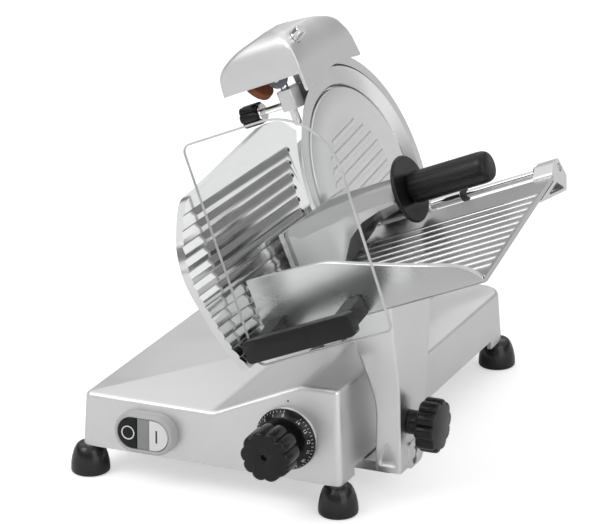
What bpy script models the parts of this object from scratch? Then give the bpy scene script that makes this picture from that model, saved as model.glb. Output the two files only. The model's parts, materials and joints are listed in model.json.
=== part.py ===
import bpy
import bmesh
import math
from mathutils import Vector

# Lengths are in millimetres. x and y are measured from the blade centre, z from the table.
TILT = math.radians(22.5)
SIN, COS = math.sin(TILT), math.cos(TILT)
BLADE_Z = 220.0
OFFSET = (-24.15, 110.5)
GAP = 0.3

BLADE_R = 110.0
COVER_R = 90.8
RING_IN, RING_OUT = BLADE_R + 2.6, BLADE_R + 13.0
HUB_BORE = 20.0
PULLEY_R, MOTOR_PULLEY_R = 44.0, 9.0
MOTOR_AT = (52.0, -58.0)
MOTOR_R = 32.0
BEARING_R, HUB_R = 22.0, 15.0
TIE_ROD_R = 4.0

BASE_Z, SHELF_Z, RIDGE_Z = 28.0, 79.0, 117.0
BASE_LEFT, BASE_RIGHT = -166.5, 91.5
BASE_FRONT, BASE_BACK = -271.5, 134.0
RIDGE_END = -68.0
WALL = 4.0
DRAFT = math.tan(math.radians(3.0))
FEET = ((-162.5, -264.0), (85.5, -264.0), (85.5, 121.0), (-160.0, 121.0))
SPIGOT_R = 2.8

DIAL_AT = (40.0, 67.0)
DIAL_R = 28.6
PAD_Y = -272.0
SPINDLE_R = 5.0
CAM_R, CAM_START, GAUGE_TRAVEL = 21.5, 7.0, 12.0
CAM_TURN = math.radians(300.0)
SWITCH_AT = (-98.0, 51.5)
KEY_AT, KEY_R = 11.0, 14.0

RIB_PITCH = 11.0
GAUGE_U = -132.0
GAUGE_Y = -120.0
GAUGE_ROD_R = 5.0

SLIDE_AT = (70.0, 46.0)
SLIDE_R = 7.0
RAIL = (30.0, 36.0, 37.0, 45.0)
RODS_END = 124.5
CLAMP_AT = (-206.0, 72.0)
PIN_AT = (-196.5, 37.5)

TRAY_N = (2.5, 220.0)
TRAY_V = (-272.5, -64.6)
TRAY_BACK = -80.0
TRAY_T = 4.0
FLOOR_RISE = math.tan(math.radians(9.3))
ROD_AT = (-60.0, -31.0)
ROD_R = 3.5
GUARD_T = 3.0

HANDLE_AT = (-105.0, -3.4)
HANDLE_R = 14.5
SLEEVE = (34.0, 86.0)
SLEEVE_BORE, SLEEVE_R = 6.6, 9.4

POST_AT = (-29.0, -31.5)
POST_R = 4.0
CLAMP_U = 94.0
STONE_AT = (-50.6, -43.3, 119.5)
STONE_TILT = math.radians(30.0)
STONE_R = 16.0
HOOD_WALL = 2.8
DEBUR_AT = (-18.0, 124.0)


def tilted(n, y, u):
    return (n * COS - u * SIN, y, BLADE_Z + n * SIN + u * COS)


def along_n(a, b, t):
    return tilted(t, a, b)


def along_y_tilted(a, b, t):
    return tilted(a, t, b)


def along_u(a, b, t):
    return tilted(a, b, t)


def along_x(a, b, t):
    return (t, a, b)


def along_y(a, b, t):
    return (a, t, b)


def along_z(a, b, t):
    return (a, b, t)


def on_front(a, b, t):
    """A point a, b on the drafted front wall, t in front of it."""
    lean = math.atan(DRAFT)
    up = b - BASE_Z
    y = BASE_FRONT + up * math.sin(lean) - t * math.cos(lean)
    return (a, y, BASE_Z + up * math.cos(lean) + t * math.sin(lean))


def stone_axis(a, b, t):
    """Across the grinding stone: t runs along its spindle."""
    s, c = math.sin(STONE_TILT), math.cos(STONE_TILT)
    return tilted(STONE_AT[0] + t * c - b * s, STONE_AT[1] + a, STONE_AT[2] + t * s + b * c)


def metres(p):
    return Vector(((p[0] + OFFSET[0]) / 1000, (p[1] + OFFSET[1]) / 1000, p[2] / 1000))


def loft(rings, closed=False):
    k = len(rings[0])
    verts = [p for ring in rings for p in ring]
    faces = []
    steps = len(rings) if closed else len(rings) - 1
    for j in range(steps):
        low, high = j * k, ((j + 1) % len(rings)) * k
        for i in range(k):
            m = (i + 1) % k
            faces.append((low + i, low + m, high + m, high + i))
    if not closed:
        faces.append(tuple(range(k)))
        faces.append(tuple((len(rings) - 1) * k + i for i in range(k)))
    return verts, faces


def prism(outline, start, end, put):
    return loft([[put(a, b, t) for a, b in outline] for t in (start, end)])


def box(a0, a1, b0, b1, t0, t1, put):
    return prism([(a0, b0), (a1, b0), (a1, b1), (a0, b1)], t0, t1, put)


def circle(r, at=(0, 0), steps=32, start=0.0):
    turn = [start + math.tau * i / steps for i in range(steps)]
    return [(at[0] + r * math.cos(t), at[1] + r * math.sin(t)) for t in turn]


def rod(r, start, end, at, put, steps=24):
    return prism(circle(r, at, steps), start, end, put)


def turned(profile, at, put, steps=48, hollow=False):
    """Turns (radius, t) points about the line through at."""
    rings = [[put(a, b, t) for a, b in circle(r, at, steps)] for r, t in profile]
    return loft(rings, closed=hollow)


def arc(r, first, last, steps, at=(0, 0)):
    turn = [math.radians(first + (last - first) * i / steps) for i in range(steps + 1)]
    return [(at[0] + r * math.cos(t), at[1] + r * math.sin(t)) for t in turn]


def rounded(points, radii, steps=4):
    """The same polygon with each corner turned into an arc."""
    out = []
    count = len(points)
    for i, corner in enumerate(points):
        r = radii[i] if isinstance(radii, (list, tuple)) else radii
        p = Vector(corner)
        before = (Vector(points[i - 1]) - p).normalized()
        after = (Vector(points[(i + 1) % count]) - p).normalized()
        half = before.angle(after) / 2
        reach = r / math.tan(half)
        first, last = p + before * reach, p + after * reach
        centre = p + (before + after).normalized() * (r / math.sin(half))
        for k in range(steps + 1):
            mix = k / steps
            spot = first.lerp(last, mix) - centre
            out.append(tuple(centre + spot.normalized() * r))
    return out


def lobes(count, r, depth, at, steps=6):
    """A knob outline: round lobes with scooped valleys."""
    out = []
    for i in range(count * steps):
        t = math.tau * i / (count * steps)
        wave = abs(math.cos(count * t / 2)) ** 0.6
        out.append((at[0] + (r - depth + depth * wave) * math.cos(t),
                    at[1] + (r - depth + depth * wave) * math.sin(t)))
    return out


def scaled(outline, k, at):
    return [(at[0] + (a - at[0]) * k, at[1] + (b - at[1]) * k) for a, b in outline]


def knob(outline, at, start, end, chamfer, put):
    step = 1 if end > start else -1
    k = 0.93
    return loft([[put(a, b, t) for a, b in scaled(outline, f, at)] for t, f in (
        (start, k), (start + step * chamfer, 1), (end - step * chamfer, 1), (end, k))])


def belt_line(big, small):
    """The outline of a belt round two wheels."""
    reach = math.hypot(*MOTOR_AT)
    aim = math.degrees(math.atan2(MOTOR_AT[1], MOTOR_AT[0]))
    spread = math.degrees(math.acos((big - small) / reach))
    far = arc(small, aim - spread, aim + spread, 8, MOTOR_AT)
    near = arc(big, aim + spread, aim + 360 - spread, 26)
    return far + near


def mesh_object(name, shape, origin, merge):
    verts, faces = shape
    start = metres(origin)
    bm = bmesh.new()
    made = [bm.verts.new(metres(p) - start) for p in verts]
    for face in faces:
        bm.faces.new([made[i] for i in face])
    if merge:
        bmesh.ops.remove_doubles(bm, verts=bm.verts, dist=2e-6)
        bmesh.ops.dissolve_degenerate(bm, edges=bm.edges, dist=1e-6)
    bmesh.ops.recalc_face_normals(bm, faces=bm.faces)
    mesh = bpy.data.meshes.new(name)
    bm.to_mesh(mesh)
    bm.free()
    mesh.shade_smooth()
    mesh.set_sharp_from_angle(angle=math.radians(28))
    obj = bpy.data.objects.new(name, mesh)
    obj.location = start
    bpy.context.scene.collection.objects.link(obj)
    return obj


def merged(shapes):
    verts, faces = [], []
    for v, f in shapes:
        base = len(verts)
        verts.extend(v)
        faces.extend(tuple(i + base for i in face) for face in f)
    return verts, faces


def boolean(obj, shape, operation):
    tool = mesh_object(obj.name + "_" + operation.lower(), shape, (0, 0, 0), True)
    tool.hide_render = True
    tool.display_type = "WIRE"
    cut = obj.modifiers.new(operation, "BOOLEAN")
    cut.object = tool
    cut.operation = operation
    cut.solver = "EXACT"


COLOURS = {
    "aluminium": (0.72, 0.73, 0.74, 1.0, 0.32), "polished": (0.8, 0.81, 0.82, 1.0, 0.12),
    "steel": (0.6, 0.61, 0.63, 1.0, 0.25), "black": (0.02, 0.02, 0.022, 0.0, 0.35),
    "rubber": (0.03, 0.03, 0.03, 0.0, 0.6), "grey": (0.55, 0.56, 0.57, 0.0, 0.4),
    "white": (0.85, 0.85, 0.85, 0.0, 0.4), "clear": (0.85, 0.88, 0.9, 0.0, 0.05),
    "stone": (0.3, 0.11, 0.05, 0.0, 0.85), "slate": (0.12, 0.13, 0.16, 0.0, 0.8),
    "brass": (0.7, 0.55, 0.3, 1.0, 0.3), "enamel": (0.2, 0.21, 0.22, 0.0, 0.5),
}


def node(name, colour, shape, origin=(0, 0, 0), steps=()):
    """One named piece. steps holds (operation, shape) pairs, in order."""
    obj = mesh_object(name, shape, origin, True)
    for operation, other in steps:
        boolean(obj, other, operation)
    tint = COLOURS[colour]
    skin = bpy.data.materials.new(name)
    skin.use_nodes = True
    shader = skin.node_tree.nodes["Principled BSDF"]
    shader.inputs["Base Color"].default_value = (*tint[:3], 1.0)
    shader.inputs["Metallic"].default_value = tint[3]
    shader.inputs["Roughness"].default_value = tint[4]
    obj.data.materials.append(skin)
    return obj


ADD, CUT = "UNION", "DIFFERENCE"


def base_ring(y, side, top, ridge, shear, back, wall):
    """One cross-section of the base, wall inside the outer skin."""
    low = BASE_Z if not wall else BASE_Z - 8
    left, right = BASE_LEFT + side + wall, BASE_RIGHT - side - wall
    drop = top + wall
    slide = side if back else 0
    high = RIDGE_Z if ridge else SHELF_Z
    if ridge:
        mid = [(51 - slide, 116.0 - drop), (57 - slide, high - drop)]
        end = [(81 - side, high - drop), (86.5 - side - wall * 0.7, 114.8 - drop * 0.9),
               (89.3 - side - wall, 108.0 - drop * 0.8)]
    else:
        mid = [(45 - slide, high - drop), (54 - slide, high - drop)]
        end = [(78 - side, high - drop), (85.5 - side - wall, high - drop),
               (89.3 - side - wall, 76.0 - drop * 0.8)]
    points = [(left, low), (left + 2.4, 73.0 - drop), (left + 3.7, 77.2 - drop),
              (left + 8, high - drop if not ridge else SHELF_Z - drop), (-36, SHELF_Z - drop),
              (-30, (80.2 if ridge else SHELF_Z) - drop)] + mid + end + [(right, low)]
    return [(x, y + shear * max(0, z - BASE_Z) * DRAFT, z) for x, z in points]


def corner_steps(r, cuts):
    return [(d, r - math.sqrt(max(0, r * r - (r - d) ** 2))) for d in cuts]


def base_body(wall):
    front, back = BASE_FRONT + wall, BASE_BACK - wall
    fr, br = 6.0 - min(wall, 3), 22.0 - wall
    rings = []
    for d, side in corner_steps(fr, [0, fr * 0.1, fr * 0.3, fr * 0.6, fr]):
        rings.append(base_ring(front + d, side, side / 2, True, 1, False, wall))
    rings.append(base_ring(RIDGE_END - 22, 0, 0, True, 0, False, wall))
    rings.append(base_ring(RIDGE_END, 0, 0, False, 0, False, wall))
    for d, side in reversed(corner_steps(br, [0, br * 0.07, br * 0.18, br * 0.36, br * 0.64, br])):
        rings.append(base_ring(back - d, side, min(3, side / 6), False, -1, True, wall))
    return loft(rings)


def base_housing():
    spigots = merged([rod(SPIGOT_R, 19, 29, at, along_z, 16) for at in FEET])
    webs = merged([
        box(GAUGE_Y - 15, GAUGE_Y + 15, GAUGE_U - 12, -115, -101, -94.8, along_n),
        box(GAUGE_Y - 15, GAUGE_Y + 15, GAUGE_U - 12, -117, -5.2, 1, along_n)])
    pad = rod(27.6, PAD_Y, -266.5, DIAL_AT, along_y, 48)
    block = box(24, 82, 33, 60, RODS_END, 132, along_y)
    skirt = [(-246, 15), (-246, 28), (-241, 32.5), (-226, 36), (80, 36), (92, 32.5), (97, 28), (97, 15)]
    slot = rounded([(-49, GAUGE_Y - 16), (-8, GAUGE_Y - 16), (-8, GAUGE_Y + 16), (-49, GAUGE_Y + 16)], 4, 3)
    cuts = [
        prism(skirt, 80, 100, along_x),
        prism(slot, -130, -105, along_u),
        rod(SPINDLE_R + 0.4, -285, -255, DIAL_AT, along_y),
    ]
    bores = merged([rod(GAUGE_ROD_R + GAP, -103, -94, (GAUGE_Y, GAUGE_U), along_n),
                    rod(GAUGE_ROD_R + GAP, -6, 3, (GAUGE_Y, GAUGE_U), along_n)])
    node("base_housing", "aluminium", base_body(0), (0, 0, 0), [
        (CUT, base_body(WALL)), (ADD, spigots), (ADD, merged([webs, block])), (ADD, pad),
        (CUT, merged(cuts)), (CUT, bores)])
    edge = 0.6 + WALL
    plate = rounded([(BASE_LEFT + edge, BASE_FRONT + edge + 0.2), (20, BASE_FRONT + edge + 0.2),
                     (20, BASE_BACK - edge - 0.2), (BASE_LEFT + edge, BASE_BACK - edge - 0.2)],
                    [4, 2, 2, 22], 5)
    vents = merged([box(-120 + 14 * i, -114 + 14 * i, -60, 20, 25, 40, along_z) for i in range(8)])
    node("bottom_plate", "steel", prism(plate, 30.3, 32, along_z), steps=[(CUT, vents)])
    for i, at in enumerate(FEET):
        dome = [(0, 27.7), (9.5, 27.7), (12.2, 26), (14.6, 21.5), (16.8, 14), (18, 6), (18, 1.5), (16.8, 0),
                (0, 0)]
        hole = rod(SPIGOT_R + GAP, 18, 30, at, along_z, 16)
        node("foot_%d" % (i + 1), "rubber", turned(dome, at, along_z, 24), steps=[(CUT, hole)])


def stadium(cx, cy, half, r, steps=10):
    right = arc(r, -90, 90, steps, (cx + half - r, cy))
    left = arc(r, 90, 270, steps, (cx - half + r, cy))
    return right + left


def switch():
    cx, cz = SWITCH_AT
    levels = ((0.3, 30, 19), (8.5, 30, 19), (11, 29, 18), (12, 27.2, 16.2))
    body = loft([[on_front(a, b, t) for a, b in stadium(cx, cz, h, r)] for t, h, r in levels])
    sides = (-1, 1)

    def half(side, r, inset):
        """The outline of one key: round outside, straight towards the middle."""
        turns = [math.radians(-90 + 15 * i) for i in range(13)]
        curve = [(cx + side * (KEY_AT + r * math.cos(t)), cz + r * math.sin(t)) for t in turns]
        return curve + [(cx + side * inset, cz + r), (cx + side * inset, cz - r)]

    pockets = merged([prism(half(side, KEY_R + 0.5, 6.0), 2.8, 14, on_front) for side in sides])
    middle = stadium(cx, cz, 25.5, 14.5)
    node("switch_bezel", "grey", body, steps=[(CUT, prism(middle, 11.2, 14, on_front)), (CUT, pockets)])
    for side, name, colour in ((-1, "stop_button", "black"), (1, "start_button", "white")):
        outline = half(side, KEY_R, 6.5)
        at = (cx + side * KEY_AT, cz)
        key = loft([[on_front(a, b, t) for a, b in scaled(outline, k, at)] for t, k in (
            (6, 1), (11.8, 1), (12.4, 0.95))])
        node(name, colour, key, on_front(at[0], at[1], 9))


def dial():
    x, z = DIAL_AT
    back = PAD_Y - GAP
    ring = [(SPINDLE_R + GAP, back), (DIAL_R, back), (DIAL_R, back - 2.5), (22.5, back - 8.5),
            (SPINDLE_R + GAP, back - 8.5)]
    origin = (x, back, z)
    node("dial_ring", "black", turned(ring, DIAL_AT, along_y, 48, True), origin)
    near = back - 8.5 - GAP
    outline = lobes(10, 23.9, 3.2, DIAL_AT)
    head = knob(outline, DIAL_AT, near - 13, -320, 2.5, along_y)
    neck = rod(16, near, near - 16, DIAL_AT, along_y, 32)
    hole = rod(SPINDLE_R + GAP, near + 2, near - 12, DIAL_AT, along_y)
    dimple = rod(3.2, -312, -325, DIAL_AT, along_y)
    node("thickness_knob", "black", head, origin, [(ADD, neck), (CUT, merged([hole, dimple]))])
    turn = [CAM_TURN * i / 30 for i in range(-4, 32)]
    first = math.pi + TILT
    inner, outer = [], []
    for t in turn:
        r = CAM_START + GAUGE_TRAVEL * t / CAM_TURN
        for side, out in ((-2.5, inner), (2.5, outer)):
            a = first - t
            out.append((x + (r + side) * math.cos(a), z + (r + side) * math.sin(a)))
    groove = prism(inner + outer[::-1], -261.3, -250, along_y)
    shaft = rod(SPINDLE_R, -261, near - 11.5, DIAL_AT, along_y)
    node("dial_spindle", "steel", rod(CAM_R, -263.2, -258.8, DIAL_AT, along_y, 36), origin,
         [(ADD, shaft), (CUT, groove)])


def gauge():
    face = [(-146, 97), (-320, 79), (-330, 76.5), (-338, 70), (-347, 60), (-354, 47), (-358, 35),
            (-360, 22), (-360, -2), (-358, -16), (-354, -29), (-347, -43), (-337, -56),
            (-329, -66), (-321, -76)]
    face += [(-118.5 * math.cos(t), 118.5 * math.sin(t)) for t in
             [math.radians(-39.9 + 4.45 * i) for i in range(19)]]
    face += [(-99, 83), (-112, 91), (-128, 96)]
    grooves = []
    for i in range(13):
        u = 58.5 - RIB_PITCH * i
        end = -math.sqrt(140.5 ** 2 - u * u)
        section = [(1, -3.4), (1, 3.4), (-1.4, 1.8), (-1.4, -1.8)]
        grooves.append(prism([(n, u + s) for n, s in section], -370, end, along_y_tilted))
    node("gauge_plate", "polished", prism(face, -8, 0, along_n), steps=[(CUT, merged(grooves))])
    y, u = GAUGE_Y, GAUGE_U
    pad = rounded([(-270, -66), (-112, -70), (-136, 30), (-270, 30)], 8, 3)
    back = prism(pad, -14, -8.3, along_n)
    leg = rounded([(-33, y - 14), (-9.5, y - 14), (-9.5, y + 14), (-33, y + 14)], 3, 2)
    sleeve = rod(10, -38, -10, (y, u), along_n)
    arm = box(-34, -23, u - 20, u - 4, -252, y - 8, along_y_tilted)
    finger = box(-33.4, -23.8, u - 30, u - 16, -258.2, -250, along_y_tilted)
    axis_n = DIAL_AT[0] * COS + (DIAL_AT[1] - BLADE_Z) * SIN
    axis_u = -DIAL_AT[0] * SIN + (DIAL_AT[1] - BLADE_Z) * COS
    pin = rod(2.1, -260.8, -254, (axis_n - CAM_START, axis_u), along_y_tilted, 16)
    bore = rod(GAUGE_ROD_R + GAP, -60, 0, (y, u), along_n)
    node("gauge_plate_support", "aluminium", back, steps=[
        (ADD, prism(leg, u, -40, along_u)), (ADD, sleeve), (ADD, arm), (ADD, finger), (ADD, pin),
        (CUT, bore)])
    node("gauge_guide_rod", "steel", rod(GAUGE_ROD_R, -101, 1, (y, u), along_n))


def blade_unit():
    sector = [math.radians(-110 + 207 * i / 46) for i in range(47)]
    shape = [(64, -26), (RING_OUT, -26), (RING_OUT, -2.2), (RING_OUT - 0.8, -1.5),
             (RING_IN, -1.5), (RING_IN, -16), (64, -16)]
    ring = loft([[tilted(n, r * math.cos(t), r * math.sin(t)) for r, n in shape] for t in sector])
    disc = rod(68, -25.5, -16.5, (0, 0), along_n, 48)
    drum = prism(belt_line(PULLEY_R + 10, MOTOR_PULLEY_R + 10), -50, -20, along_n)
    hollow = prism(belt_line(PULLEY_R + 6, MOTOR_PULLEY_R + 6), -46, -27, along_n)
    outer = [(36.6, 79.3), (-10.8, 193.9), (-84.7, 163.2), (-98, 156), (-106, 145), (-109, 130), (-112, 79.3)]
    inner = [(31, 70), (-15.6, 187.5), (-83.2, 158.9), (-95.6, 152.4), (-102.6, 143), (-105, 129.6),
             (-108, 70)]
    trim = box(-300, 300, -300, 300, 20, 79.3, along_z)
    bore = rod(BEARING_R + GAP, -30, -10, (0, 0), along_n, 36)
    boss = rod(9, -51.5, -45, (0, 0), along_n)
    hole = rod(TIE_ROD_R + 0.4, -60, -40, (0, 0), along_n)
    arm = rounded([(-35.8, -39.5), (-21, -39.5), (-15.5, -30), (-16.5, -2), (-26, -2), (-35.8, -22)], 2.5, 3)
    bracket = prism(arm, 88.5, 108, along_u)
    holes = merged([rod(POST_R + GAP, 80, 120, POST_AT, along_u)])
    screw = rod(3.6, -45, -31, (POST_AT[1], CLAMP_U), along_n, 20)
    node("blade_housing", "aluminium", ring, steps=[
        (ADD, disc), (ADD, drum), (ADD, prism(outer, 14, 90, along_y)), (ADD, boss), (ADD, bracket),
        (CUT, hollow), (CUT, prism(inner, 18, 86, along_y)), (CUT, bore), (CUT, hole),
        (CUT, holes), (CUT, screw), (CUT, trim)])
    band = BLADE_R - COVER_R
    seat = COVER_R + band * 0.115
    blade = [(HUB_BORE, -9), (COVER_R + 0.7, -9), (seat, -3), (BLADE_R, 0), (BLADE_R, -0.6),
             (BLADE_R - band * 0.31, -4.5), (seat + band * 0.1, -6.5), (seat, -12), (HUB_BORE, -12)]
    node("blade", "polished", turned(blade, (0, 0), along_n, 80, True), tilted(0, 0, 0))
    cap = [(0, -8.5), (COVER_R, -8.5), (COVER_R, -3.2), (COVER_R - 0.8, -2.4), (58, -2.4), (56, -1.9),
           (0, -1.9)]
    lug = rod(10, -14.5, -8, (0, 0), along_n)
    socket = rod(TIE_ROD_R + GAP, -16, -10, (0, 0), along_n)
    node("blade_cover", "aluminium", turned(cap, (0, 0), along_n, 56), steps=[(ADD, lug), (CUT, socket)])
    rim = PULLEY_R + 3
    hub = [(6, -41), (rim, -41), (rim, -39.5), (PULLEY_R, -39.5), (PULLEY_R, -30), (rim, -30), (rim, -28.5),
           (HUB_R, -28.5), (HUB_R, -15.5), (32, -15.5), (32, -12.3), (HUB_BORE - 0.4, -12.3),
           (HUB_BORE - 0.4, -9.6), (12, -9.6), (12, -19), (6, -19)]
    node("blade_pulley", "steel", turned(hub, (0, 0), along_n, 28, True), tilted(-20, 0, 0))
    race = [(HUB_R + GAP, -25.5), (BEARING_R, -25.5), (BEARING_R, -17), (HUB_R + GAP, -17)]
    node("blade_bearing", "steel", turned(race, (0, 0), along_n, 24, True))
    loop = belt_line(PULLEY_R + GAP + 2, MOTOR_PULLEY_R + GAP + 2)
    inside = prism(belt_line(PULLEY_R + GAP, MOTOR_PULLEY_R + GAP), -45, -25, along_n)
    node("drive_belt", "rubber", prism(loop, -38.5, -31, along_n), steps=[(CUT, inside)])
    rim = MOTOR_PULLEY_R + 2
    wheel = [(3.8, -41), (rim, -41), (rim, -39.5), (MOTOR_PULLEY_R, -39.5), (MOTOR_PULLEY_R, -30),
             (rim, -30), (rim, -28.5), (3.8, -28.5)]
    node("motor_pulley", "aluminium", turned(wheel, MOTOR_AT, along_n, 18, True),
         tilted(-35, MOTOR_AT[0], MOTOR_AT[1]))
    can = [(0, -109), (MOTOR_R - 3, -109), (MOTOR_R, -106), (MOTOR_R, -50), (MOTOR_R - 2, -48),
           (9, -48), (9, -44), (3.5, -44), (3.5, -29), (0, -29)]
    foot = [(-96, 79.6), (-34, 79.6), (-34, 108), (-96, 108)]
    node("motor", "enamel", turned(can, MOTOR_AT, along_n, 28),
         steps=[(ADD, prism(foot, 32, 72, along_y))])
    node("cover_tie_rod", "steel", rod(TIE_ROD_R, -65.7, -10.4, (0, 0), along_n))
    grip = lobes(8, 12, 2, (0, 0), 6)
    node("tie_rod_knob", "black", knob(grip, (0, 0), -52, -72, 1.5, along_n), tilted(-60, 0, 0),
         [(CUT, rod(TIE_ROD_R + GAP, -50, -66, (0, 0), along_n))])


def hood_ring(level, inset):
    u, left, right, front, back, mid = level
    plan = [(left + inset, front + inset), (right - inset, front + inset), (right - inset, back - inset),
            (mid + inset * 0.5, back - inset), (left + inset, min(-20.0, back - 4))]
    return [tilted(n, y, u) for n, y in rounded(plan, 2.5, 2)]


def sharpener():
    levels = [(122, -75.3, 12, -65, 55, -26), (132, -74.6, 11, -65, 53, -26), (140, -73.2, 9.4, -65, 49, -26),
              (147, -68.5, 8.2, -65, 45, -26), (153, -60, 6.8, -65, 37, -26), (158, -49, 5.2, -64.8, 23, -27),
              (162, -35, 2, -63.8, 6, -27), (165, -24, -6, -61, -12, -26)]
    outer = loft([hood_ring(row, 0) for row in levels])
    hollow = [(110, -75.3, 12, -65, 55, -26)] + [(row[0] - 3.4,) + row[1:] for row in levels[:-1]]
    inner = loft([hood_ring(row, HOOD_WALL) for row in hollow])
    lip = [(-63.5, 104.7), (-64.6, 128), (53, 128), (57, 106), (39, 109), (20, 111.5), (-20, 112), (-42, 109)]
    n, y = POST_AT
    boss = rod(7.2, 121, 160, POST_AT, along_u, 24)
    seat = box(-26, -12, 119.5, 128.5, -52, -32, along_y_tilted)
    bore = rod(POST_R + GAP, 110, 150, POST_AT, along_u)
    way = [(0, 14), (4.4, 14), (4.4, 63), (6.4, 63), (6.4, 100), (0, 100)]
    pass_hole = turned(way, (0, 0), stone_axis, 32)
    small = rod(2.8, -55, -46, DEBUR_AT, along_y_tilted, 16)
    node("sharpener_cap", "aluminium", outer, tilted(n, y, 122), [
        (CUT, inner), (ADD, prism(lip, 8.95, 12.15, along_n)), (ADD, boss), (ADD, seat), (CUT, bore),
        (CUT, pass_hole), (CUT, small)])
    tip = [(0, 72), (2.6, 72.6), (POST_R, 75), (POST_R, 149.7), (0, 149.7)]
    node("sharpener_post", "steel", turned(tip, POST_AT, along_u, 24), tilted(n, y, 122))
    at = (y, CLAMP_U)
    grip = lobes(6, 11, 2.4, at, 7)
    node("sharpener_clamp_knob", "black", knob(grip, at, -61.5, -81, 1.2, along_n), tilted(-70, *at),
         [(CUT, rod(3.3 + GAP, -58, -74, at, along_n))])
    screw = [(0, -73.7), (3.3, -73.7), (3.3, -61.2), (8.5, -61.2), (8.5, -59.2), (3.3, -59.2), (3.3, -33.3),
             (0, -33.3)]
    node("sharpener_clamp_screw", "steel", turned(screw, at, along_n, 24), tilted(-70, *at))
    wheel = [(4.3, -1), (STONE_R - 1, -1), (STONE_R, 0), (STONE_R, 5), (STONE_R - 1, 6), (4.3, 6)]
    centre = tilted(*STONE_AT)
    node("grinding_stone", "stone", turned(wheel, (0, 0), stone_axis, 40, True), centre)
    pin = [(0, -3.5), (7, -3.5), (7, -1.3), (4, -1.3), (4, 66), (5.4, 66), (5.8, 66.6), (5.8, 76.6),
           (4.8, 77.6), (0, 77.6)]
    node("grinding_spindle", "steel", turned(pin, (0, 0), stone_axis, 24), centre)
    origin = tilted(DEBUR_AT[0], -58, DEBUR_AT[1])
    disc = [(2.9, -60), (9.8, -60), (10.3, -59.4), (10.3, -55.6), (9.8, -55), (2.9, -55)]
    node("deburring_stone", "slate", turned(disc, DEBUR_AT, along_y_tilted, 28, True), origin)
    axle = [(0, -61.3), (4, -61.3), (4, -60.3), (2.5, -60.3), (2.5, -46.4), (0, -46.4)]
    node("deburring_spindle", "steel", turned(axle, DEBUR_AT, along_y_tilted, 16), origin)


def column():
    levels = [(29, 104, 130, -227, -173), (34, 104, 130, -227, -171.5), (64, 104.4, 130, -226.6, -170),
              (82, 105, 130, -227, -167), (98, 103.5, 130.2, -228, -163), (120, 98, 130.2, -231, -160),
              (149, 89, 129, -236, -154), (200, 74, 127, -241, -144)]
    rings = []
    for z, left, right, front, back in levels:
        plan = [(left, front), (right, front), (right, back), (left, back)]
        rings.append([(x, y, z) for x, y in rounded(plan, [5, 2, 4, 5], 3)])
    body = loft(rings)
    arm = box(56, 118, -218, -182, 24, 34.5, along_z)
    lug = rounded([(-210, 27), (-184, 27), (-172, 38), (-172, 52), (-210, 52)], 4, 3)
    lug = prism(lug, 112, 131.6, along_x)
    y, u = TRAY_V
    line = []
    for at in (-330.0, -100.0):
        line.append((at, u - TRAY_T - 0.6 + (at - y) * FLOOR_RISE))
    top = prism(line + [(-100, 60), (-330, 60)], -60, 220, along_n)
    arch = [(107.5, 34), (126.5, 34), (125.5, 44), (122, 54), (117, 61), (112, 54), (108.5, 44)]
    scoop = loft([[(x, -235, z) for x, z in arch],
                  [(x, -222.5, z) for x, z in scaled(arch, 0.75, (117, 38))]])
    slot = prism(stadium(0, 0, 9.5, 5.4, 6), 124, 140,
                 lambda a, b, t: (t, PIN_AT[0] + b * 0.9 + a * 0.35, PIN_AT[1] + a))
    shank = rod(5.4, 120, 140, CLAMP_AT, along_x)
    bolts = merged([rod(3.4, 20, 36, at, along_z, 16) for at in ((70, -210), (70, -190))])
    node("carriage_column", "aluminium", body, (0, 0, 0), [
        (ADD, arm), (ADD, lug), (CUT, top), (CUT, scoop), (CUT, slot), (CUT, shank), (CUT, bolts)])
    node("column_pin", "steel", rod(4.6, 124.4, 130.6, PIN_AT, along_x))
    grip = lobes(10, 24.5, 3.4, CLAMP_AT)
    neck = rod(11, 130.5, 146, CLAMP_AT, along_x, 32)
    stud = rod(5, 120.4, 132, CLAMP_AT, along_x)
    node("carriage_clamp_knob", "black", knob(grip, CLAMP_AT, 143, 160.5, 2.2, along_x),
         (140, CLAMP_AT[0], CLAMP_AT[1]), [(ADD, neck), (ADD, stud)])
    body = box(24, 84, 34.8, 57, -236, -156, along_y)
    left, right, low, high = RAIL
    ways = merged([rod(SLIDE_R + GAP, -240, -150, SLIDE_AT, along_y, 32),
                   box(left - 0.4, right + 0.4, 30, high + 0.4, -240, -150, along_y)])
    taps = merged([rod(3.4, 30, 38.2, at, along_z, 16) for at in ((70, -210), (70, -190))])
    node("carriage_slide_block", "steel", body, steps=[(CUT, ways), (CUT, taps)])
    for i, at in enumerate(((70, -210), (70, -190))):
        bolt = [(0, 20), (6, 20), (6, 22.7), (3.1, 22.7), (3.1, 38), (0, 38)]
        node("foot_bolt_%d" % (i + 1), "steel", turned(bolt, at, along_z, 20))
    start, end = BASE_FRONT + WALL + 1.8, RODS_END - GAP
    node("carriage_slide_rod", "steel", rod(SLIDE_R, start, end, SLIDE_AT, along_y))
    node("carriage_guide_rail", "steel", box(left, right, low, high, start, end, along_y))


def floor_u(y):
    return TRAY_V[1] + (y - TRAY_V[0]) * FLOOR_RISE


def wall_lean(n):
    return math.radians(22.5) * max(0.0, min(1.0, n / 220))


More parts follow.
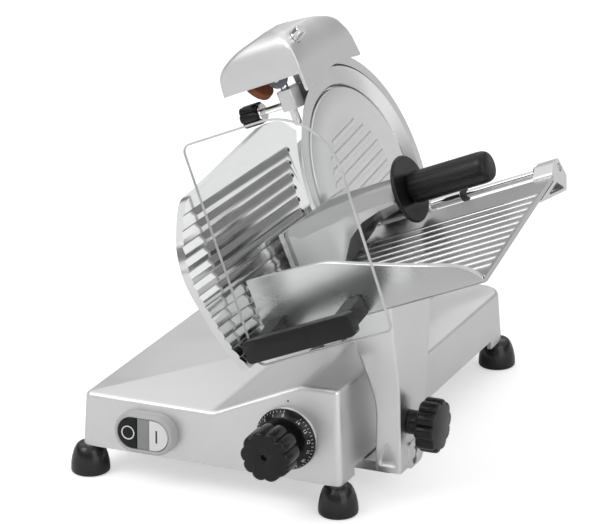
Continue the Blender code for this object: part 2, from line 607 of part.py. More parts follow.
def tray():
    y, u = TRAY_V
    top = ((2.5, -10), (83, -10), (125, -22.4), (168, -35), (200, -44.5), (208, -48.5), (214, -54),
           (219, -62))
    rings = []
    for n, high in top:
        lean = wall_lean(n)
        length = (high - u) / math.cos(lean)
        dy, du = -math.sin(lean), math.cos(lean)
        t = TRAY_T
        inner = (y + dy * length, u + du * length)
        outer = (inner[0] - t * du, inner[1] + t * dy)
        ring = [(y - t, u - t - 0.5), (TRAY_BACK, floor_u(TRAY_BACK) - t), (TRAY_BACK, floor_u(TRAY_BACK)),
                (y, u), inner, outer]
        rings.append([tilted(n, a, b) for a, b in ring])
    ribs = []
    for i in range(11):
        at = -116 - 13 * i
        ridge = [(at - 3, floor_u(at - 3) - 0.6), (at + 3, floor_u(at + 3) - 0.6),
                 (at + 1.5, floor_u(at) + 1.7), (at - 1.5, floor_u(at) + 1.5)]
        ribs.append(prism(ridge, 5, 215, along_n))
    lug = rounded([(-86, -44), (-56, -42), (-50, -38), (-50, -25), (-56, -21), (-68, -21), (-86, -33)], 2, 2)
    bore = rod(ROD_R + GAP, 0, 17, ROD_AT, along_n)
    node("carriage_tray", "aluminium", loft(rings), steps=[
        (ADD, merged(ribs)), (ADD, prism(lug, 4, 15, along_n)), (CUT, bore)])
    frame = [(-118, -45.9), (-118, -43.9), (-79.6, -37.7), (-79.6, -31), (-68, -24), (-56, -22.6),
             (-51.7, -41.4), (-62.8, -52.4)]
    notch = [(-76, -40.7), (-64.5, -49.6), (-104, -44.6)]
    holes = merged([rod(ROD_R + GAP, 195, 225, ROD_AT, along_n), prism(notch, 208, 225, along_n)])
    node("rod_bracket", "aluminium", prism(frame, 200, 219.8, along_n), steps=[(CUT, holes)])
    node("pusher_rod", "steel", rod(ROD_R, 6, 217, ROD_AT, along_n))
    stop = [(ROD_R + GAP, 196), (6.2, 196), (6.2, 199.6), (ROD_R + GAP, 199.6)]
    node("rod_buffer", "rubber", turned(stop, ROD_AT, along_n, 24, True))


def guard_y(u):
    return -314.0 + (u + 73) * (17.4 / 194)


def on_guard(a, b, t):
    return tilted(a, guard_y(b) + t, b)


def guard():
    sheet = rounded([(4, -79), (142, -79), (147, 122.8), (4, 122.8)], [10, 6, 60, 8], 8)
    half = GUARD_T / 2
    node("hand_guard", "clear", prism(sheet, -half, half, on_guard))
    bar = rounded([(3.4, -72), (113, -72), (113, -52), (3.4, -52)], 4, 4)
    levels = ((-half - GAP, 1.0), (-half - 9.5, 1.0), (-half - 12, 0.97))
    middle = (58, -62)
    rings = [[on_guard(a, b, t) for a, b in scaled(bar, k, middle)] for t, k in levels]
    node("front_handle", "black", loft(rings))
    for name, n0, n1 in (("handle_spacer_left", 10, 25), ("handle_spacer_right", 90, 106)):
        rings = []
        for n in (n0, n1):
            ring = []
            for u in (-70, -54):
                ring.append(tilted(n, guard_y(u) + half + GAP, u))
            for u in (-49, -66):
                lean = wall_lean(n1 + 1)
                away = TRAY_V[0] - TRAY_T / math.cos(lean) - 0.5 - max(0, u - TRAY_V[1]) * math.tan(lean)
                ring.append(tilted(n, min(away, TRAY_V[0] - TRAY_T - 0.5), u))
            rings.append(ring)
        node(name, "black", loft(rings))


def pusher():
    def under(y, lift=2.6):
        return floor_u(y) + lift

    rows = [(13.4, -205, -109, None, 8.5), (17, -205, -109, None, 9.5), (24, -198, -104, None, 10.5),
            (40, -180, -96, None, 11), (52, -164, -90, -21, 10), (62, -152, -86, -12, 9.6),
            (76, -141, -84, -8.5, 9), (92, -130, -84, -7.5, 8)]
    rings = []
    for n, front, back, low, high in rows:
        drop = 7 if n > 20 else 2.5
        lf = under(front) if low is None else low
        lb = under(back) + 0.4 if low is None else low + 1
        shape = [(front, lf), (back, lb), (back, high - drop * 2), (back - drop, high - drop * 0.4),
                 (back - drop * 2, high), (front + drop * 2.4, high), (front + drop, high - drop * 0.6),
                 (front, high - drop * 1.8)]
        rings.append([tilted(n, a, b) for a, b in shape])
    link = rounded([(-112, -22), (-70, -24), (-56, -27), (-56, -22), (-66, -12), (-112, 2)], 1.5, 2)
    room = rod(SLEEVE_R + GAP, 20, 95, ROD_AT, along_n, 32)
    pivot = tilted(60, *ROD_AT)
    plug = rod(7, 90, 118, HANDLE_AT, along_n)
    node("pusher_arm", "aluminium", loft(rings), pivot, [
        (ADD, prism(link, SLEEVE[0] + 2, SLEEVE[0] + 28, along_n)), (ADD, plug), (CUT, room)])
    ring = [(SLEEVE_BORE + GAP, SLEEVE[0]), (SLEEVE_R, SLEEVE[0]), (SLEEVE_R, SLEEVE[1]),
            (SLEEVE_BORE + GAP, SLEEVE[1])]
    node("pusher_sleeve", "aluminium", turned(ring, ROD_AT, along_n, 32, True), pivot)
    plate = [(-205, under(-205)), (-112, under(-112)), (-92, -15), (-66, -15), (-66, 8), (-205, 8)]
    teeth = []
    for i in range(11):
        at = -198 + 8.2 * i
        low = under(at + 4) + 1.5
        point = [(7.6, at - 3.6), (7.6, at + 3.6), (5.4, at)]
        teeth.append(prism([(a + (0.9 if a > 7 else 0), b) for a, b in point], low, 6.5, along_u))
    node("pusher_teeth_plate", "steel", prism(plate, 8, 13, along_n), pivot, [(ADD, merged(teeth))])
    shield = [(7.3, 92.4), (29.6, 92.4), (31.4, 94), (30.6, 96.4), (7.3, 96.4)]
    node("pusher_flange", "black", turned(shield, HANDLE_AT, along_n, 48, True), pivot)
    grip = [(0, 118.6), (7.3, 118.6), (7.3, 96.8), (12.6, 96.8), (HANDLE_R, 101), (HANDLE_R, 172),
            (13.4, 176.4), (10.5, 178), (0, 178)]
    node("pusher_handle", "black", turned(grip, HANDLE_AT, along_n, 36), pivot)
    tube = [(ROD_R + GAP, SLEEVE[0] - 6), (8.6, SLEEVE[0] - 6), (8.6, SLEEVE[0] - GAP),
            (SLEEVE_BORE, SLEEVE[0] - GAP), (SLEEVE_BORE, SLEEVE[1] + GAP), (5.2, SLEEVE[1] + GAP),
            (5.2, 118.7), (ROD_R + GAP, 118.7)]
    node("pusher_bush", "steel", turned(tube, ROD_AT, along_n, 28, True), pivot)
    seal = [(ROD_R + GAP, 119), (5.8, 119), (5.8, 124), (ROD_R + GAP, 124)]
    node("bush_seal", "rubber", turned(seal, ROD_AT, along_n, 24, True), pivot)


def main():
    for obj in list(bpy.data.objects):
        bpy.data.objects.remove(obj)
    base_housing()
    switch()
    dial()
    gauge()
    blade_unit()
    sharpener()
    column()
    tray()
    guard()
    pusher()


main()
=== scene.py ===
import json
from math import atan2, cos, pi, radians, sin, sqrt, tan, tau

import bmesh
import bpy
from mathutils import Matrix, Vector

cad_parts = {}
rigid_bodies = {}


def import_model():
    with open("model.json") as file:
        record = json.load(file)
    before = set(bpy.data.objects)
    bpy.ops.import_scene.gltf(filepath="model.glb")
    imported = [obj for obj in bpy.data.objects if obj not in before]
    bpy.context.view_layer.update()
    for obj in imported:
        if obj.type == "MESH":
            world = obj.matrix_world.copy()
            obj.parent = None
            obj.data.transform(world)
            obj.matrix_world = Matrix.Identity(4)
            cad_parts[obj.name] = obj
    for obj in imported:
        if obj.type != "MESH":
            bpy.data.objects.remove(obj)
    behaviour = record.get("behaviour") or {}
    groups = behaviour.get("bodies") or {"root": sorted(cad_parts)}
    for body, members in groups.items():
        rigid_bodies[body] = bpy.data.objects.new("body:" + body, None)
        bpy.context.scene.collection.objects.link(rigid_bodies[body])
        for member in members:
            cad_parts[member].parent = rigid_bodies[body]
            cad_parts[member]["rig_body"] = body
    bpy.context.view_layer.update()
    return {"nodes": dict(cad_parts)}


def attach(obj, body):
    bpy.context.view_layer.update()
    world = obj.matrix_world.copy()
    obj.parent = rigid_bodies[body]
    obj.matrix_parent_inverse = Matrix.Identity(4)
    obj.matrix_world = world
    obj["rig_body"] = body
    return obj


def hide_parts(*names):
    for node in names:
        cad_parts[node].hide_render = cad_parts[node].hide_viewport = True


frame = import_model()
print("frame loaded:", len(frame["nodes"]), "nodes")

# the slicer's own spaces: everything below is drawn in millimetres
machine = {
    "tilt": 22.5, "offset": (-24.15, 110.5), "bladeHeight": 220.0, "frontLean": 3.0,
    "front": (0, -271.5, 28), "dial": (40, -272.3, 67), "traySlope": 9.3,
}
millimetre = 0.001
tilt, frontLean, traySlope = (radians(machine[k]) for k in ("tilt", "frontLean", "traySlope"))
# x and y from the blade's centre, z from the table
bodySpace = Matrix.Scale(millimetre, 4) @ Matrix.Translation((*machine["offset"], 0))
# n out of the blade's face, y along it, u up it
bladeSpace = bodySpace @ Matrix.Translation((0, 0, machine["bladeHeight"])) @ Matrix.Rotation(-tilt, 4, "Y")
# for outlines drawn in y and height, then raised along x or n
sideways = Matrix(((0, 0, 1, 0), (1, 0, 0, 0), (0, 1, 0, 0), (0, 0, 0, 1)))
sideSpace, nSpace = bodySpace @ sideways, bladeSpace @ sideways


# A space whose z runs from a point towards a direction, both given in another space.
def axisSpace(space, at, towards, up="Y"):
    return space @ Matrix.Translation(at) @ Vector(towards).to_track_quat("Z", up).to_matrix().to_4x4()


# x, up the front wall, out of it
frontSpace = bodySpace @ Matrix.Translation(machine["front"]) @ Matrix.Rotation(pi / 2 - frontLean, 4, "X")
dialSpace = axisSpace(bodySpace, machine["dial"], (0, -1, 0))


# materials
# Adds a node: a socket among its inputs is linked, a number stays on it.
def added(tree, kind, inputs, **settings):
    node = tree.nodes.new(kind)
    for name, value in settings.items():
        setattr(node, name, value)
    for name, value in inputs.items():
        if isinstance(value, bpy.types.NodeSocket):
            tree.links.new(value, node.inputs[name])
        else:
            node.inputs[name].default_value = value
    return node


def reckoned(tree, operation, *values):
    return added(tree, "ShaderNodeMath", dict(enumerate(values)), operation=operation).outputs[0]


def startSkin(name, metallic, rough, colour):
    skin = bpy.data.materials.new(name)
    skin.use_nodes = True
    shader = skin.node_tree.nodes["Principled BSDF"]
    shader.inputs["Metallic"].default_value = metallic
    shader.inputs["Roughness"].default_value = sum(rough) / 2
    shader.inputs["Base Color"].default_value = (*colour, 1)
    return skin, skin.node_tree, shader


# Object coordinates, turned, centred and stretched.
def placed(tree, scale=(1, 1, 1), turn=(0, 0, 0), at=(0, 0, 0)):
    where = added(tree, "ShaderNodeTexCoord", {}).outputs["Object"]
    mapping = added(tree, "ShaderNodeMapping", {"Vector": where, "Location": at, "Rotation": turn},
                    vector_type="TEXTURE")
    stretch = added(tree, "ShaderNodeVectorMath", {0: mapping.outputs["Vector"], 1: scale}, operation="MULTIPLY")
    return stretch.outputs["Vector"]


def noise(tree, vector, scale, detail=4.0, rough=0.6):
    return added(tree, "ShaderNodeTexNoise",
                 {"Vector": vector, "Scale": scale, "Detail": detail, "Roughness": rough}).outputs["Fac"]


def ranged(tree, value, low, high, fromLow=0.3, fromHigh=0.7):
    return added(tree, "ShaderNodeMapRange", {"Value": value, "From Min": fromLow, "From Max": fromHigh,
                                              "To Min": low, "To Max": high}).outputs["Result"]


# Roughness that follows a value between two limits.
def roughened(tree, value, shader, *limits):
    tree.links.new(ranged(tree, value, *limits), shader.inputs["Roughness"])


def tinted(tree, value, dark, light, shader):
    ramp = added(tree, "ShaderNodeValToRGB", {"Fac": value})
    for stop, position, colour in zip(ramp.color_ramp.elements, (0.3, 0.7), (dark, light)):
        stop.position, stop.color = position, (*colour, 1)
    tree.links.new(ramp.outputs["Color"], shader.inputs["Base Color"])


def times(colour, factor):
    return tuple(min(1, c * factor) for c in colour)


def bumped(tree, value, shader, depth, strength):
    bump = added(tree, "ShaderNodeBump", {"Height": value, "Strength": strength, "Distance": depth})
    tree.links.new(bump.outputs["Normal"], shader.inputs["Normal"])


# Metal whose fine lines run along the axis where stretch is small.
def brushed(name, level, rough, stretch, turn=(0, 0, 0), grain=900.0, depth=0.00004, darker=0.06):
    colour = (level, level, level)
    skin, tree, shader = startSkin(name, 1.0, rough, colour)
    lines = noise(tree, placed(tree, stretch, turn), grain, 3.0)
    clouds = noise(tree, placed(tree), 22.0, 3.0)
    both = reckoned(tree, "MULTIPLY_ADD", lines, 0.5, ranged(tree, clouds, 0.15, 0.35))
    roughened(tree, both, shader, *rough)
    tinted(tree, clouds, times(colour, 1 - darker), colour, shader)
    bumped(tree, lines, shader, depth, 0.35)
    return skin


# Satin blasted casting: fine even grain with faint handling marks.
def cast(name, level, rough):
    colour = (level, level, level)
    skin, tree, shader = startSkin(name, 1.0, rough, colour)
    place = placed(tree)
    clouds = noise(tree, place, 14.0)
    roughened(tree, clouds, shader, *rough)
    tinted(tree, clouds, times(colour, 0.95), colour, shader)
    bumped(tree, noise(tree, place, 1800.0, 2.0), shader, 0.00006, 0.3)
    return skin


# Ground face: rings about the local x axis through at.
def turnedSteel(name, level, rough, at, turn):
    colour = (level, level, level)
    skin, tree, shader = startSkin(name, 1.0, rough, colour)
    length = added(tree, "ShaderNodeVectorMath", {0: placed(tree, (0, 1, 1), turn, at)}, operation="LENGTH")
    rings = added(tree, "ShaderNodeTexNoise", {"W": length.outputs["Value"], "Scale": 2600.0, "Detail": 2.0},
                  noise_dimensions="1D").outputs["Fac"]
    roughened(tree, rings, shader, *rough)
    tinted(tree, noise(tree, placed(tree), 30.0, 3.0), times(colour, 0.93), colour, shader)
    bumped(tree, rings, shader, 0.00002, 0.4)
    return skin


# Moulded plastic or rubber with a fine mould texture and faint dust.
def moulded(name, colour, rough, depth=0.00005, grain=1500.0, coat=0.0, lift=1.6, shine=0.5):
    skin, tree, shader = startSkin(name, 0.0, rough, colour)
    shader.inputs["Specular IOR Level"].default_value = shine
    shader.inputs["Coat Weight"].default_value = coat
    shader.inputs["Coat Roughness"].default_value = 0.12
    place = placed(tree)
    clouds = noise(tree, place, 45.0)
    roughened(tree, clouds, shader, *rough)
    tinted(tree, clouds, colour, times(colour, lift), shader)
    bumped(tree, noise(tree, place, grain, 2.0), shader, depth, 0.25)
    return skin


# Bonded abrasive stone.
def gritty(name, dark, light):
    skin, tree, shader = startSkin(name, 0.0, (0.85, 0.85), light)
    place = placed(tree)
    grit = added(tree, "ShaderNodeTexVoronoi", {"Vector": place, "Scale": 1400.0}).outputs["Distance"]
    tinted(tree, noise(tree, place, 900.0, 5.0, 0.8), dark, light, shader)
    roughened(tree, grit, shader, 0.6, 0.95, 0.0, 0.8)
    bumped(tree, grit, shader, 0.0003, 0.8)
    return skin


# Clear acrylic: nearly invisible faces with a few wipe marks.
def clearSheet(name):
    skin, tree, shader = startSkin(name, 0.0, (0.03, 0.03), (0.97, 0.98, 0.98))
    shader.inputs["Transmission Weight"].default_value = 1.0
    shader.inputs["IOR"].default_value = 1.2
    marks = noise(tree, placed(tree, (1, 1, 3), (0, 0.4, 0)), 60.0, 5.0)
    roughened(tree, marks, shader, 0.02, 0.07, 0.45, 0.7)
    tinted(tree, marks, (0.96, 0.97, 0.975), (0.985, 0.99, 0.99), shader)
    return skin


leaning = (0, -tilt, 0)  # texture axes that follow the blade
skins = {
    "housing": cast("satinHousing", 0.81, (0.36, 0.45)),
    "hood": cast("satinHood", 0.81, (0.4, 0.48)),
    "column": cast("satinColumn", 0.83, (0.28, 0.36)),
    "arm": cast("satinArm", 0.39, (0.27, 0.38)),
    "tray": brushed("brushedTray", 0.61, (0.26, 0.32), (0.12, 1, 1), leaning, 2200.0, 0.000004, 0.03),
    "gauge": brushed("polishedGauge", 0.87, (0.1, 0.2), (1, 0.03, 1), leaning, depth=0.00002),
    "blade": turnedSteel("groundBlade", 0.885, (0.12, 0.24), tuple(bladeSpace.translation), leaning),
    "cover": brushed("satinCover", 0.865, (0.3, 0.4), (1, 0.05, 1), leaning, darker=0.03),
    "steel": brushed("plainSteel", 0.63, (0.22, 0.34), (1, 0.05, 1), grain=700.0),
    "chrome": brushed("brightPins", 0.885, (0.05, 0.12), (1, 1, 0.2), grain=300.0, depth=0.00001),
    "pulley": brushed("turnedPulley", 0.76, (0.2, 0.3), (0.05, 1, 1), leaning),
    "black": moulded("blackPlastic", (0.006, 0.006, 0.007), (0.2, 0.3), coat=0.05, shine=0.3),
    "handle": moulded("blackHandle", (0.008, 0.008, 0.009), (0.3, 0.42), 0.00003, coat=0.05, shine=0.3),
    "foot": moulded("blackFeet", (0.008, 0.008, 0.009), (0.2, 0.32), 0.00002, coat=0.2, shine=0.4),
    "rubber": moulded("blackRubber", (0.03, 0.03, 0.03), (0.6, 0.75)),
    "greyKey": moulded("greyBezel", (0.51, 0.51, 0.51), (0.35, 0.45), 0.00003, lift=1.06),
    "darkKey": moulded("middleGrey", (0.28, 0.285, 0.29), (0.38, 0.48), 0.00003, lift=1.06),
    "white": moulded("whiteKey", (0.817, 0.817, 0.817), (0.3, 0.4), 0.00002, lift=1.04),
    "mark": moulded("whiteMarks", (0.757, 0.757, 0.757), (0.45, 0.55), 0.00001, lift=1.05),
    "inkMark": moulded("blackMarks", (0.02, 0.02, 0.022), (0.4, 0.5), 0.00001),
    "enamel": moulded("motorEnamel", (0.09, 0.095, 0.1), (0.4, 0.55), 0.00012, 500.0),
    "brown": gritty("brownStone", (0.16, 0.045, 0.018), (0.38, 0.12, 0.05)),
    "slate": gritty("slateStone", (0.08, 0.085, 0.1), (0.22, 0.23, 0.27)),
    "clear": clearSheet("clearGuard"),
    "sawn": moulded("sawnEdge", (0.51, 0.51, 0.51), (0.25, 0.4), 0.00002, lift=1.3),
}
print("materials ready:", len(skins))


# shaping
def linked(name, data):
    made = bpy.data.objects.new(name, data)
    bpy.context.scene.collection.objects.link(made)
    return made


def meshed(name, bm):
    mesh = bpy.data.meshes.new(name)
    bm.to_mesh(mesh)
    bm.free()
    return mesh


# An object's mesh with its modifiers applied.
def evaluated(made):
    bpy.context.view_layer.update()
    return bpy.data.meshes.new_from_object(made.evaluated_get(bpy.context.evaluated_depsgraph_get()))


def smoothed(mesh, angle):
    mesh.shade_smooth()
    mesh.set_sharp_from_angle(angle=radians(angle))


def bevelled(piece, width, angle=32):
    edge = piece.modifiers.new("edges", "BEVEL")
    edge.width = width * millimetre
    edge.segments = 3
    edge.limit_method = "ANGLE"
    edge.angle_limit = radians(angle)
    edge.harden_normals = True


# Turns a bmesh into a piece: placed in the slicer, shaded, dressed and riding on its body.
def finished(name, bm, space, skin, body, stands=(), smooth=35, bevel=0, wall=0):
    bmesh.ops.transform(bm, matrix=space, verts=bm.verts)
    bmesh.ops.recalc_face_normals(bm, faces=bm.faces)
    mesh = meshed(name, bm)
    smoothed(mesh, smooth)
    mesh.materials.append(skins[skin])
    piece = linked(name, mesh)
    if wall:
        shell = piece.modifiers.new("wall", "SOLIDIFY")
        shell.thickness = wall * millimetre
        shell.offset = -1
    if bevel:
        bevelled(piece, bevel)
    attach(piece, body)
    if stands:
        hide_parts(*stands)
    return piece


# A new bmesh drawn by one of the functions below.
def drawn(draw, *details):
    bm = bmesh.new()
    draw(bm, *details)
    return bm


def rounded(bm, edges, radius, steps, clamped=True):
    bmesh.ops.bevel(bm, geom=edges, offset=radius, segments=steps, profile=0.5, affect="EDGES", material=-1,
                    clamp_overlap=clamped)


def box(bm, centre, size):
    made = bmesh.ops.create_cube(bm, size=1)["verts"]
    bmesh.ops.scale(bm, vec=size, verts=made)
    bmesh.ops.translate(bm, vec=centre, verts=made)
    return made


# An upright peg about its centre, a cone if its top has a radius of its own.
def peg(bm, centre, radius, depth, steps=32, top=None):
    made = bmesh.ops.create_cone(bm, cap_ends=True, segments=steps, radius1=radius, radius2=top or radius,
                                 depth=depth)["verts"]
    bmesh.ops.translate(bm, vec=centre, verts=made)
    return made


# A flat shape cut to an outline, drawn up from low to high, its rims rounded.
def plate(bm, outline, low, high, edge=0.0):
    face = bm.faces.new([bm.verts.new((a, b, low)) for a, b in outline])
    made = bmesh.ops.extrude_face_region(bm, geom=[face])["geom"]
    top = [g for g in made if isinstance(g, bmesh.types.BMVert)]
    bmesh.ops.translate(bm, vec=(0, 0, high - low), verts=top)
    if edge:
        rims = {e for v in top for e in v.link_edges if all(w in top for w in e.verts)}
        rims |= set(face.edges) if face.is_valid else set()
        rounded(bm, list(rims), edge, 3)


# Spins (radius, height) points about the local z axis through at; a profile whose ends are both off it is closed.
def lathe(bm, profile, steps, at=(0, 0)):
    made = [bm.verts.new((at[0] + r, at[1], z)) for r, z in profile]
    edges = [bm.edges.new(pair) for pair in zip(made, made[1:])]
    if profile[0][0] > 0.001 and profile[-1][0] > 0.001:
        edges.append(bm.edges.new((made[-1], made[0])))
    bmesh.ops.spin(bm, geom=made + edges, cent=(*at, 0), axis=(0, 0, 1), angle=tau, steps=steps, use_merge=True)
    bmesh.ops.remove_doubles(bm, verts=bm.verts, dist=0.0005)


# Draws a face through sections with equal numbers of points, leaving no faces inside.
def lofted(bm, sections):
    face = bm.faces.new([bm.verts.new(p) for p in sections[0]])
    before = sections[0]
    for section in sections[1:]:
        inner = face
        made = bmesh.ops.extrude_face_region(bm, geom=[face])["geom"]
        face = next(g for g in made if isinstance(g, bmesh.types.BMFace))
        if before is not sections[0] and inner.is_valid:
            bmesh.ops.delete(bm, geom=[inner], context="FACES_ONLY")
        spots = [Vector(p) for p in before]
        for v in face.verts:
            nearest = min(range(len(spots)), key=lambda i: (spots[i] - v.co).length_squared)
            v.co = section[nearest]
        before = section


# One outline repeated through (height, scale) levels about a point.
def stacked(outline, levels, at=(0, 0)):
    return [[(at[0] + a * k, at[1] + b * k, t) for a, b in outline] for t, k in levels]


# The smooth curve from b to c, a share t of the way.
def eased(a, b, c, d, t):
    return 0.5 * (2 * b + (c - a) * t + (2 * a - 5 * b + 4 * c - d) * t * t + (3 * b - a - 3 * c + d) * t ** 3)


# The row at place t of a table, eased between its rows.
def through(rows, t):
    last = len(rows) - 1
    k = min(int(t), last - 1)
    near = [rows[max(0, min(last, k + i))] for i in (-1, 0, 1, 2)]
    return [eased(*column, t - k) for column in zip(*near)]


# The same outline with its points joined by smooth curves.
def curved(points, steps=4, closed=True):
    out = []
    count = len(points)
    for i in range(count if closed else count - 1):
        near = [Vector(points[(i + k) % count] if closed else points[max(0, min(count - 1, i + k))])
                for k in (-1, 0, 1, 2)]
        out += [tuple(eased(*near, k / steps)) for k in range(steps)]
    if not closed:
        out.append(tuple(points[-1]))
    return out


# The same outline with its corners rounded.
def roundedOutline(points, radii, steps=6):
    out = []
    count = len(points)
    for i, corner in enumerate(points):
        r = radii[i] if isinstance(radii, (list, tuple)) else radii
        p = Vector(corner)
        before = (Vector(points[i - 1]) - p).normalized()
        after = (Vector(points[(i + 1) % count]) - p).normalized()
        half = before.angle(after) / 2
        reach = r / tan(half)
        centre = p + (before + after).normalized() * (r / sin(half))
        for k in range(steps + 1):
            spot = (p + before * reach).lerp(p + after * reach, k / steps) - centre
            out.append(tuple(centre + spot.normalized() * r))
    return out


# A slot with round ends, half long from its middle.
def stadium(cx, cy, half, r, steps=14):
    turns = [radians(-90 + 180 * i / steps) for i in range(steps + 1)]
    right = [(cx + half - r + r * cos(t), cy + r * sin(t)) for t in turns]
    left = [(cx - half + r - r * cos(t), cy - r * sin(t)) for t in turns]
    return right + left


# The outline of a knob with lobes, depth deep.
def lobed(count, radius, depth, steps=14):
    out = []
    for i in range(count * steps):
        t = tau * i / (count * steps)
        r = radius - depth + depth * abs(cos(count * t / 2)) ** 0.6
        out.append((r * cos(t), r * sin(t)))
    return out


# A round-ended bar from a point, length long, pressed flat across its up direction.
def capsule(bm, at, along, length, radius, pressed, up, steps=20):
    made = bmesh.ops.create_uvsphere(bm, u_segments=steps, v_segments=steps // 2, radius=radius)["verts"]
    bmesh.ops.rotate(bm, verts=made, cent=(0, 0, 0), matrix=Matrix.Rotation(pi / 2, 3, "Y"))
    for v in made:
        v.co.x += length if v.co.x > 0.0001 else 0
        v.co.z *= pressed
    x, z = Vector(along).normalized(), Vector(up)
    z = (z - x * z.dot(x)).normalized()
    turn = Matrix((x, z.cross(x), z)).transposed().to_4x4()
    bmesh.ops.transform(bm, matrix=Matrix.Translation(at) @ turn, verts=made)


# Applies a piece's modifiers.
def settle(piece):
    old, piece.data = piece.data, evaluated(piece)
    piece.modifiers.clear()
    bpy.data.meshes.remove(old)


# Cuts a bmesh drawn in a space out of a piece, or does another operation with it.
def cutAway(piece, cutter, space, operation="DIFFERENCE"):
    bmesh.ops.transform(cutter, matrix=space, verts=cutter.verts)
    bmesh.ops.recalc_face_normals(cutter, faces=cutter.faces)
    tool = linked("cutter", meshed("cutter", cutter))
    cut = piece.modifiers.new("cut", "BOOLEAN")
    cut.object = tool
    cut.operation = operation
    cut.solver = "EXACT"
    settle(piece)
    bpy.data.objects.remove(tool)


# Merges points nearer than near, in metres, and joins the faces that lie flat beside each other.
def merged(bm, near, joined=True):
    bmesh.ops.remove_doubles(bm, verts=bm.verts, dist=near)
    if joined:
        bmesh.ops.dissolve_limit(bm, angle_limit=radians(0.5), verts=bm.verts, edges=bm.edges)


def edged(piece, width, angle, smooth=30, joined=True):
    bm = bmesh.new()
    bm.from_mesh(piece.data)
    merged(bm, 0.000005, joined)
    bm.to_mesh(piece.data)
    bm.free()
    smoothed(piece.data, smooth)
    bevelled(piece, width, angle)


# A solid node's own shape with its triangles joined and its edges eased.
def softened(node, skin, width):
    source = frame["nodes"][node]
    bm = bmesh.new()
    bm.from_mesh(source.data)
    merged(bm, 0.000002)
    finished(node + "_dressed", bm, Matrix.Identity(4), skin, source["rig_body"], [node], bevel=width)


# base: one thin cast shell with a ridge under the thickness dial
base = {
    "floor": 28.0, "sides": (-166.5, 91.5), "wall": 4.0, "rim": 4.5, "smooth": 26,
    "ridge": ((-166.5, 28), (-163.3, 79), (-34, 79), (52, 117), (88.4, 117), (91.5, 28)),
    "shelf": ((-166.5, 28), (-163.3, 79), (-34, 79), (46, 79), (89.4, 79), (91.5, 28)),
    "sections": ((-271.5, "ridge", 1), (-90, "ridge", 0), (-68, "shelf", 0), (134, "shelf", -1)),
    "corners": ((134.0, 22, 12), (-271.5, 6, 6)), "way": {"side": 84, "front": -241, "back": 90, "high": 36},
    "hole": ((-49, -136), (-8, -136), (-8, -104), (-49, -104)), "rodSeat": ((53, 128.2, 46.5), (58, 7.5, 27)),
    "webs": (((-97.9, -120, -129.5), (6.2, 30, 29)), ((-2.1, -120, -130.5), (6.2, 30, 27))),
    "feet": ((-162.5, -264), (85.5, -264), (85.5, 121), (-160, 121)),
    "foot": ((0, 27.7), (8.8, 27.7), (10.6, 27.2), (12.4, 25.6), (14.6, 21.5), (16.4, 16), (17.6, 10), (18, 5.5),
             (18, 2.4), (17.7, 1.2), (16.8, 0.3), (16, 0), (8, 0), (7.6, 0.6), (0, 0.6)),
}


def baseShell():
    low, way, draft = base["floor"], base["way"], tan(frontLean)
    bm = drawn(lofted, [[(x, y + lean * (z - low) * draft, z) for x, z in base[outline]]
                        for y, outline, lean in base["sections"]])
    under = [f for f in bm.faces if all(abs(v.co.z - low) < 0.01 for v in f.verts)]
    bmesh.ops.delete(bm, geom=under, context="FACES")

    def upright(e, x, y):
        a, b = (v.co for v in e.verts)
        steep = abs(a.x - b.x) < 4 and abs(a.y - b.y) < 6 and abs(a.z - b.z) > 30
        return steep and abs(a.x - x) < 6 and abs(a.y - y) < 6

    for x in base["sides"]:
        for y, radius, steps in base["corners"]:
            rounded(bm, [e for e in bm.edges if upright(e, x, y)], radius, steps, False)
    folds = [e for e in bm.edges if len(e.link_faces) == 2 and e.calc_face_angle(0) > radians(14)
             and all(v.co.z > low + 20 for v in e.verts)]
    rounded(bm, folds, base["rim"], 5)
    # the right side is raised over the carriage's way
    for at in ((0, way["front"], 0), (0, way["back"], 0), (0, 0, way["high"])):
        side = [f for f in bm.faces if f.calc_center_median().x > way["side"] and abs(f.normal.x) > 0.7]
        parts = {g for f in side for g in (f, *f.edges, *f.verts)}
        bmesh.ops.bisect_plane(bm, geom=list(parts), plane_co=at, plane_no=[abs(v) for v in Vector(at).normalized()])
    raised = []
    for f in bm.faces:
        spot = f.calc_center_median()
        if spot.x > way["side"] and spot.z < way["high"] and way["front"] < spot.y < way["back"]:
            raised.append(f)
    bmesh.ops.delete(bm, geom=raised, context="FACES")
    shell = finished("base_shell", bm, bodySpace, "housing", "base", ["base_housing"], wall=base["wall"],
                     smooth=base["smooth"])
    settle(shell)
    # where the gauge plate's carrier passes through the shelf
    cutAway(shell, drawn(plate, roundedOutline(base["hole"], 4), -130, -105), bladeSpace)
    smoothed(shell.data, base["smooth"])

    seat = bmesh.new()  # inside: seats for the foot screws, the rod ends and the guide rod
    foot = bmesh.new()
    for x, y in base["feet"]:
        peg(seat, (x, y, 25), 2.8, 12, 24)
        peg(seat, (x + (4 if x < 0 else -2), y + (4 if y < 0 else -4), 33), 7, 8)
        lathe(foot, base["foot"], 64, (x, y))
    box(seat, *base["rodSeat"])
    finished("base_seats", seat, bodySpace, "housing", "base")
    web = bmesh.new()
    for centre, size in base["webs"]:
        box(web, centre, size)
    finished("base_webs", web, bladeSpace, "housing", "base", bevel=1)
    # the dial's machined seat
    pad = drawn(lathe, [(27.6, -5.5), (27.6, -0.6), (27.2, -0.3), (0, -0.3)], 72)
    finished("dial_seat", pad, dialSpace, "housing", "base")
    finished("rubber_feet", foot, bodySpace, "foot", "base", ["foot_%d" % (i + 1) for i in range(4)])


baseShell()
print("base done")


